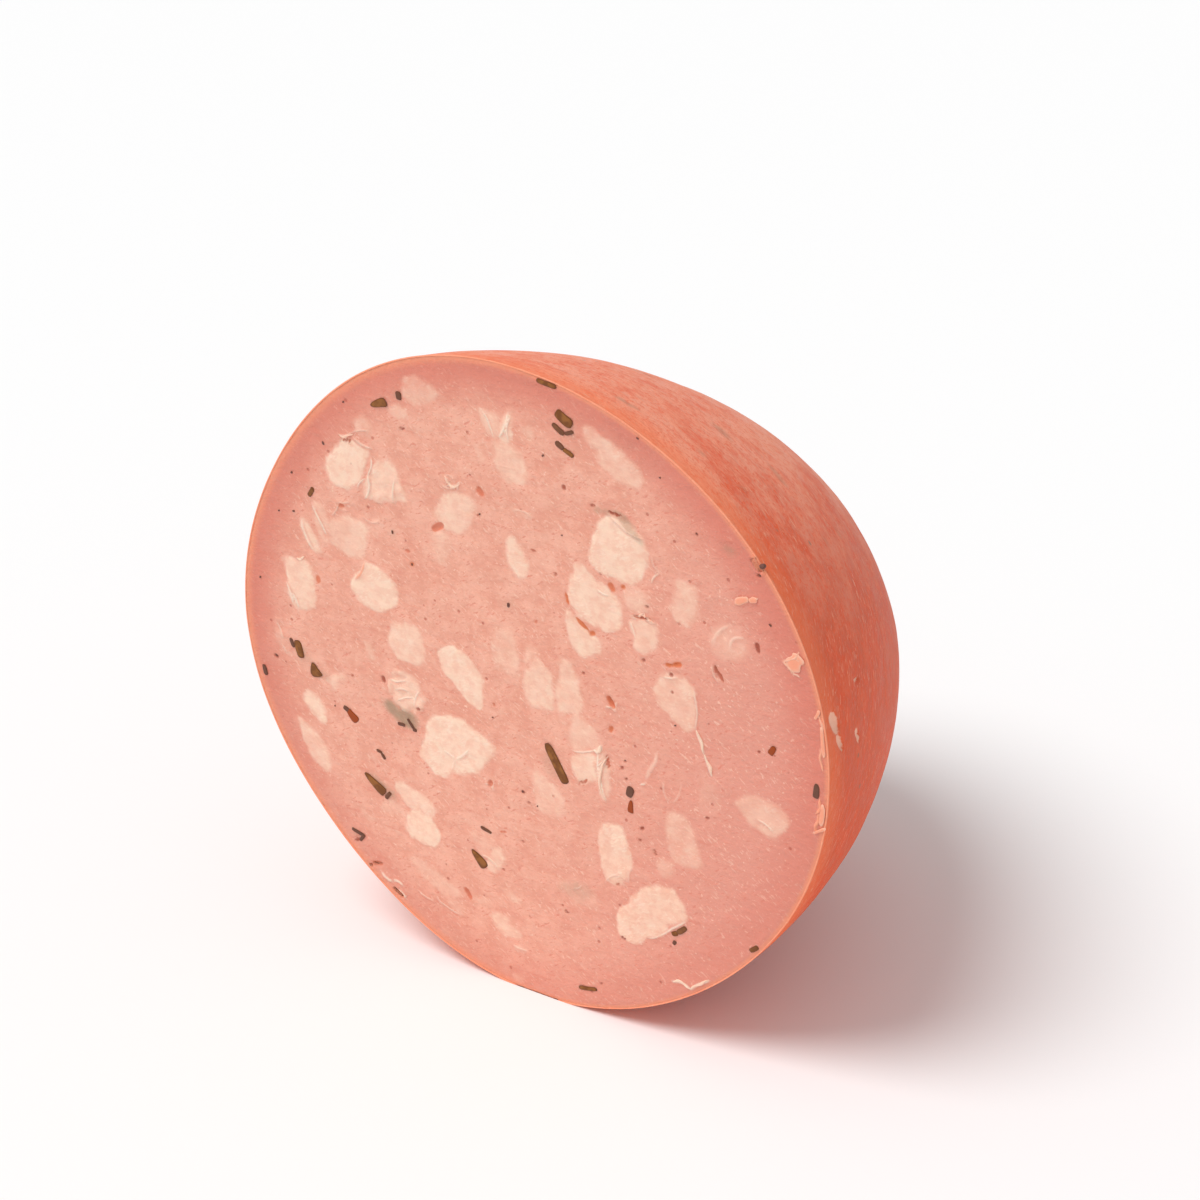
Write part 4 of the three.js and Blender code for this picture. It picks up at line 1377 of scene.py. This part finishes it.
class MORTADELLA_OT_casing(bpy.types.Operator):
    """Makes the casing: the loaf's outside, a rounded lip at the cut, and a hidden cone that closes it"""

    bl_idname = "mortadella.casing"
    bl_label = "Casing"

    def execute(self, context):
        sizes, looks = context.scene.loaf_sizes, context.scene.casing_looks
        loaf = Loaf(sizes)
        angle = np.linspace(0, 2 * math.pi, sizes.casing_columns, endpoint=False)
        outside, values = casing_outside(loaf, angle)
        lip = casing_lip(loaf, angle)
        rows = np.concatenate([lip, outside])
        rows[..., 2] = np.maximum(rows[..., 2], 0)
        pole = loaf.casing(np.zeros(1), np.ones(1))
        points = np.concatenate([rows.reshape(-1, 3), on_axis(loaf, CASING_CLOSES), pole])
        quads, fans = tube_faces(len(rows), len(angle))
        at_lip = {"rim": 0, "grey": -3, "torn": -3, "shade": 0}
        for name, value in values.items():
            value = np.concatenate([np.full(lip.shape[:2], at_lip[name]), value])
            values[name] = np.append(value.ravel(), value[[0, -1], 0])
        finish = casing_finish(looks)
        belongs(closed_mesh("casing", points, quads[:, ::-1], fans[:, ::-1], finish, **values))
        return {"FINISHED"}


class MORTADELLA_OT_cut_face(bpy.types.Operator):
    """Makes the cut face: a disc of fine relief, closed behind by a shallow cone inside the casing"""

    bl_idname = "mortadella.cut_face"
    bl_label = "Cut face"

    def execute(self, context):
        sizes, looks = context.scene.loaf_sizes, context.scene.meat_looks
        loaf = Loaf(sizes)
        x, y = disc_grid(sizes.face_rings)
        share, angle = np.hypot(x, y), np.arctan2(y, x)
        radius = (share - CROWD * share**POWER) / (1 - CROWD) * (loaf.rim(angle) - loaf.skin * SET_IN)
        x, y = radius * np.cos(angle), radius * np.sin(angle)
        plan = FacePlan(loaf, x, y)
        points = loaf.face(x, y, plan.height)
        points[..., 2] = np.maximum(points[..., 2], 0)
        points = np.concatenate([points.reshape(-1, 3), on_axis(loaf, MEAT_CLOSES)])
        quads = grid_quads(*x.shape)
        grid = np.arange(x.size).reshape(x.shape)
        border = np.concatenate([grid[0, :-1], grid[:-1, -1], grid[-1, :0:-1], grid[:0:-1, 0]])
        fan = np.stack([np.roll(border, -1), border, np.full(len(border), x.size)], -1)
        values = {name: getattr(plan, name) for name in FACE_VALUES}
        values = {name: np.append(value.ravel(), value[0, 0]) for name, value in values.items()}
        belongs(closed_mesh("cut_face", points, quads, fan, meat_finish(looks), **values))
        return {"FINISHED"}


# How far the middle of what is set into the cut lies above it, and half its thickness, in millimetres
PROUD = 0.12
OLIVE_HEIGHT, PEPPER_HEIGHT = 0.14, 0.08
# Power that rounds a lump's profile, and how much its width wanders: twice and five times round
LUMP_ROUND, LUMP_WANDER = 0.6, ((2, 0.06), (5, 0.05))
# Cords: their wander, the power of their swelling, how lumpy it is, and their half width and half height
CORD_WANDER, CORD_SWELL, CORD_LUMPY, CORD_WIDE, CORD_HIGH = 0.2, 0.45, 0.25, 0.32, 0.6


def rounded_lumps(loaf, lumps, sides=32, rows=9, square=0.75, ragged=1):
    """One closed rounded lump for each row: an ellipsoid with squared-off sides, x = l cos^p(a) cos(b),
    blunter the longer it is, lying in the face with its top a little proud, and with a little wander in its
    width. Returns points, quads, fans, and each point's share of the widest belt."""
    rng = np.random.default_rng(len(lumps))
    bodies = []
    heights = face_heights(loaf, [[lump.across, lump.up] for lump in lumps])
    around = np.linspace(0, 2 * math.pi, sides, endpoint=False)
    rise = np.linspace(-math.pi / 2, math.pi / 2, rows + 2)[1:-1, None]
    belt = np.cos(rise) ** LUMP_ROUND
    for lump, ground in zip(lumps, heights + PROUD):
        c, s = math.cos(math.radians(lump.turn)), math.sin(math.radians(lump.turn))
        wander = sum(share * np.sin(count * around + rng.uniform(0, 6)) for count, share in LUMP_WANDER)
        blunt = square * (min(lump.width, lump.length) / lump.length) ** 0.6
        u = np.sign(np.cos(around)) * np.abs(np.cos(around)) ** blunt
        v = np.sign(np.sin(around)) * np.abs(np.sin(around)) ** square
        along = belt * u * lump.length / 2
        aside = belt * v * (1 + ragged * wander) * (1 + lump.taper * u) * lump.width / 2
        x, y = lump.across + along * c - aside * s, lump.up + along * s + aside * c
        body = loaf.face(x, y, ground + np.sin(rise) * lump.height + 0 * along)
        poles = ground + np.array([-lump.height, lump.height])
        ends = loaf.face(np.full(2, lump.across), np.full(2, lump.up), poles)
        bodies.append(np.concatenate([body.reshape(-1, 3), ends]))
    belts = np.tile(np.append(np.repeat(belt, sides), [0, 0]), len(lumps))
    return *joined_tubes(bodies, rows, sides), belts


class MORTADELLA_OT_olives(bpy.types.Operator):
    """Makes the slivers of olive as thin rounded slips set flush into the cut"""

    bl_idname = "mortadella.olives"
    bl_label = "Olive slivers"

    def execute(self, context):
        loaf, finish = Loaf(context.scene.loaf_sizes), olive_finish(context.scene.meat_looks)
        lumps = [Lump(*sliver[:4], OLIVE_HEIGHT, sliver.turn, sliver.taper) for sliver in SLIVERS]
        points, quads, fans, belt = rounded_lumps(loaf, lumps)
        tone = np.repeat([sliver.tone for sliver in SLIVERS], len(points) // len(SLIVERS))
        belongs(closed_mesh("olive_slivers", points, quads, fans, finish, tone=tone, belt=belt))
        return {"FINISHED"}


class MORTADELLA_OT_pepper(bpy.types.Operator):
    """Makes the specks of pepper in the cut, and the peppercorn that sits at its rim"""

    bl_idname = "mortadella.pepper"
    bl_label = "Pepper"

    def execute(self, context):
        loaf, finish = Loaf(context.scene.loaf_sizes), pepper_finish(context.scene.meat_looks)
        lumps = []
        for across, up, wide in PEPPER:
            lumps.append(Lump(across, up, wide * 1.2, wide * 0.75, PEPPER_HEIGHT, across * 37 % 180))
        lumps.append(PEPPERCORN)
        points, quads, fans, _ = rounded_lumps(loaf, lumps, sides=10, rows=6, square=0.9)
        belongs(closed_mesh("pepper", points, quads, fans, finish))
        return {"FINISHED"}


class MORTADELLA_OT_curls(bpy.types.Operator):
    """Makes the curls that stand up from the cut, as tapering cords, and the flakes of torn skin"""

    bl_idname = "mortadella.curls"
    bl_label = "Curls and flakes"

    def execute(self, context):
        loaf, finish = Loaf(context.scene.loaf_sizes), curl_finish(context.scene.meat_looks)
        ridges = [ridge for ridge in RIDGES if ridge.loose]
        points, quads, fans = self.cords(loaf, ridges)
        tone = np.repeat([ridge.tone for ridge in ridges], len(points) // len(ridges))
        belongs(closed_mesh("curls", points, quads, fans, finish, tone=tone))
        points, quads, fans, belt = rounded_lumps(loaf, FLAKES, square=1, ragged=3)
        belongs(closed_mesh("flakes", points, quads, fans, finish, tone=0.9 - 0.2 * belt**4))
        return {"FINISHED"}

    def cords(self, loaf, ridges, sides=10, steps=26):
        """A closed cord for each ridge: a ring of points carried along its arc, swelling by the root of a
        sine from nothing at each end, and flatter than it is wide."""
        along = np.linspace(0, 1, steps)
        ring = np.linspace(0, 2 * math.pi, sides, endpoint=False)
        rng = np.random.default_rng(5)
        bodies = []
        for ridge in ridges:
            line = arc_points(ridge, along)
            tangent = unit(np.gradient(line, axis=0))
            side = np.stack([-tangent[:, 1], tangent[:, 0]], -1)
            wander = CORD_WANDER * ridge.width * np.sin(along * rng.uniform(5, 9) + rng.uniform(0, 6))
            line = line + side * wander[:, None]
            swell = np.sin(math.pi * np.clip(along, 0.02, 0.98)) ** CORD_SWELL
            swell = swell * (1 + CORD_LUMPY * np.sin(along * rng.uniform(8, 14) + rng.uniform(0, 6)))
            wide = swell[:, None] * np.cos(ring) * ridge.width * CORD_WIDE
            high = swell[:, None] * np.sin(ring) * ridge.height * CORD_HIGH
            spots = line[:, None] + wide[..., None] * side[:, None]
            ground = face_heights(loaf, line)[:, None]
            body = loaf.face(spots[..., 0], spots[..., 1], ground + high)
            ends = loaf.face(line[[0, -1], 0], line[[0, -1], 1], ground[[0, -1], 0])
            bodies.append(np.concatenate([body.reshape(-1, 3), ends]))
        return joined_tubes(bodies, steps, sides)


class MORTADELLA_OT_stage(bpy.types.Operator):
    """Sets the floor, the soft light and the camera"""

    bl_idname = "mortadella.stage"
    bl_label = "Stage"

    def execute(self, context):
        scene, looks = context.scene, context.scene.stage_looks
        self.lay_floor(scene, looks)
        self.light(scene, looks)
        self.aim_camera(scene, looks, Vector(Loaf(scene.loaf_sizes).centre * MM))
        return {"FINISHED"}

    def lay_floor(self, scene, looks):
        half = looks.floor_reach
        corners = [(-half, -half, 0), (half, -half, 0), (half, half, 0), (-half, half, 0)]
        mesh = bpy.data.meshes.new("floor")
        mesh.from_pydata(corners, [], [(0, 1, 2, 3)])
        paint = Recipe("floor_paper")
        shader = paint.node("ShaderNodeBsdfPrincipled", {}, {"Base Color": looks.floor, "Roughness": 0.9})
        paint.node("ShaderNodeOutputMaterial", {}, {"Surface": shader})
        mesh.materials.append(paint.material)
        floor = bpy.data.objects.new("floor", mesh)
        scene.collection.objects.link(floor)

    def light(self, scene, looks):
        """White light from all round, and a soft sun from the upper left in front."""
        world = bpy.data.worlds.new("studio")
        world.use_nodes = True
        background = world.node_tree.nodes["Background"].inputs
        background["Color"].default_value = (1, 1, 1, 1)
        background["Strength"].default_value = looks.sky
        scene.world = world
        scene.view_settings.view_transform = "Standard"
        sun = bpy.data.lights.new("key_light", "SUN")
        sun.energy, sun.angle = looks.sun, looks.sun_spread
        lamp = bpy.data.objects.new("key_light", sun)
        lamp.rotation_euler = Vector(looks.sun_way).to_track_quat("-Z", "Y").to_euler()
        scene.collection.objects.link(lamp)

    def aim_camera(self, scene, looks, centre):
        camera = bpy.data.objects.new("camera", bpy.data.cameras.new("camera"))
        camera.data.lens, camera.data.sensor_width = looks.lens, 36
        a, e = looks.camera_azimuth, looks.camera_height
        back = Vector((math.sin(a) * math.cos(e), -math.cos(a) * math.cos(e), math.sin(e)))
        camera.location = centre + back * looks.camera_reach
        camera.rotation_euler = (math.pi / 2 - looks.camera_pitch, 0, looks.camera_heading)
        scene.collection.objects.link(camera)
        scene.camera = camera


# --------------------------------------------------------------------------------------------------
# Add-on
# --------------------------------------------------------------------------------------------------

PIECES = ("casing", "cut_face", "olives", "pepper", "curls", "stage")
GROUPS = {
    "loaf_sizes": LoafSizes,
    "meat_looks": MeatLooks,
    "casing_looks": CasingLooks,
    "stage_looks": StageLooks,
}


class MORTADELLA_PT_panel(bpy.types.Panel):
    """Lists the pieces, in the order they are made"""

    bl_idname = "MORTADELLA_PT_panel"
    bl_label = "Mortadella half"
    bl_space_type = "VIEW_3D"
    bl_region_type = "UI"
    bl_category = "Mortadella"

    def draw(self, context):
        for piece in PIECES:
            self.layout.operator(f"mortadella.{piece}")
        for group, kind in GROUPS.items():
            box = self.layout.box()
            for setting in kind.__annotations__:
                box.prop(getattr(context.scene, group), setting)


CLASSES = (
    *GROUPS.values(),
    MORTADELLA_OT_casing,
    MORTADELLA_OT_cut_face,
    MORTADELLA_OT_olives,
    MORTADELLA_OT_pepper,
    MORTADELLA_OT_curls,
    MORTADELLA_OT_stage,
    MORTADELLA_PT_panel,
)


def register():
    for kind in CLASSES:
        bpy.utils.register_class(kind)
    for group, kind in GROUPS.items():
        setattr(bpy.types.Scene, group, PointerProperty(type=kind))


def unregister():
    for group in GROUPS:
        delattr(bpy.types.Scene, group)
    for kind in reversed(CLASSES):
        bpy.utils.unregister_class(kind)


def main():
    """Makes every piece in order."""
    register()
    for piece in PIECES:
        getattr(bpy.ops.mortadella, piece)()


if __name__ == "__main__":
    main()
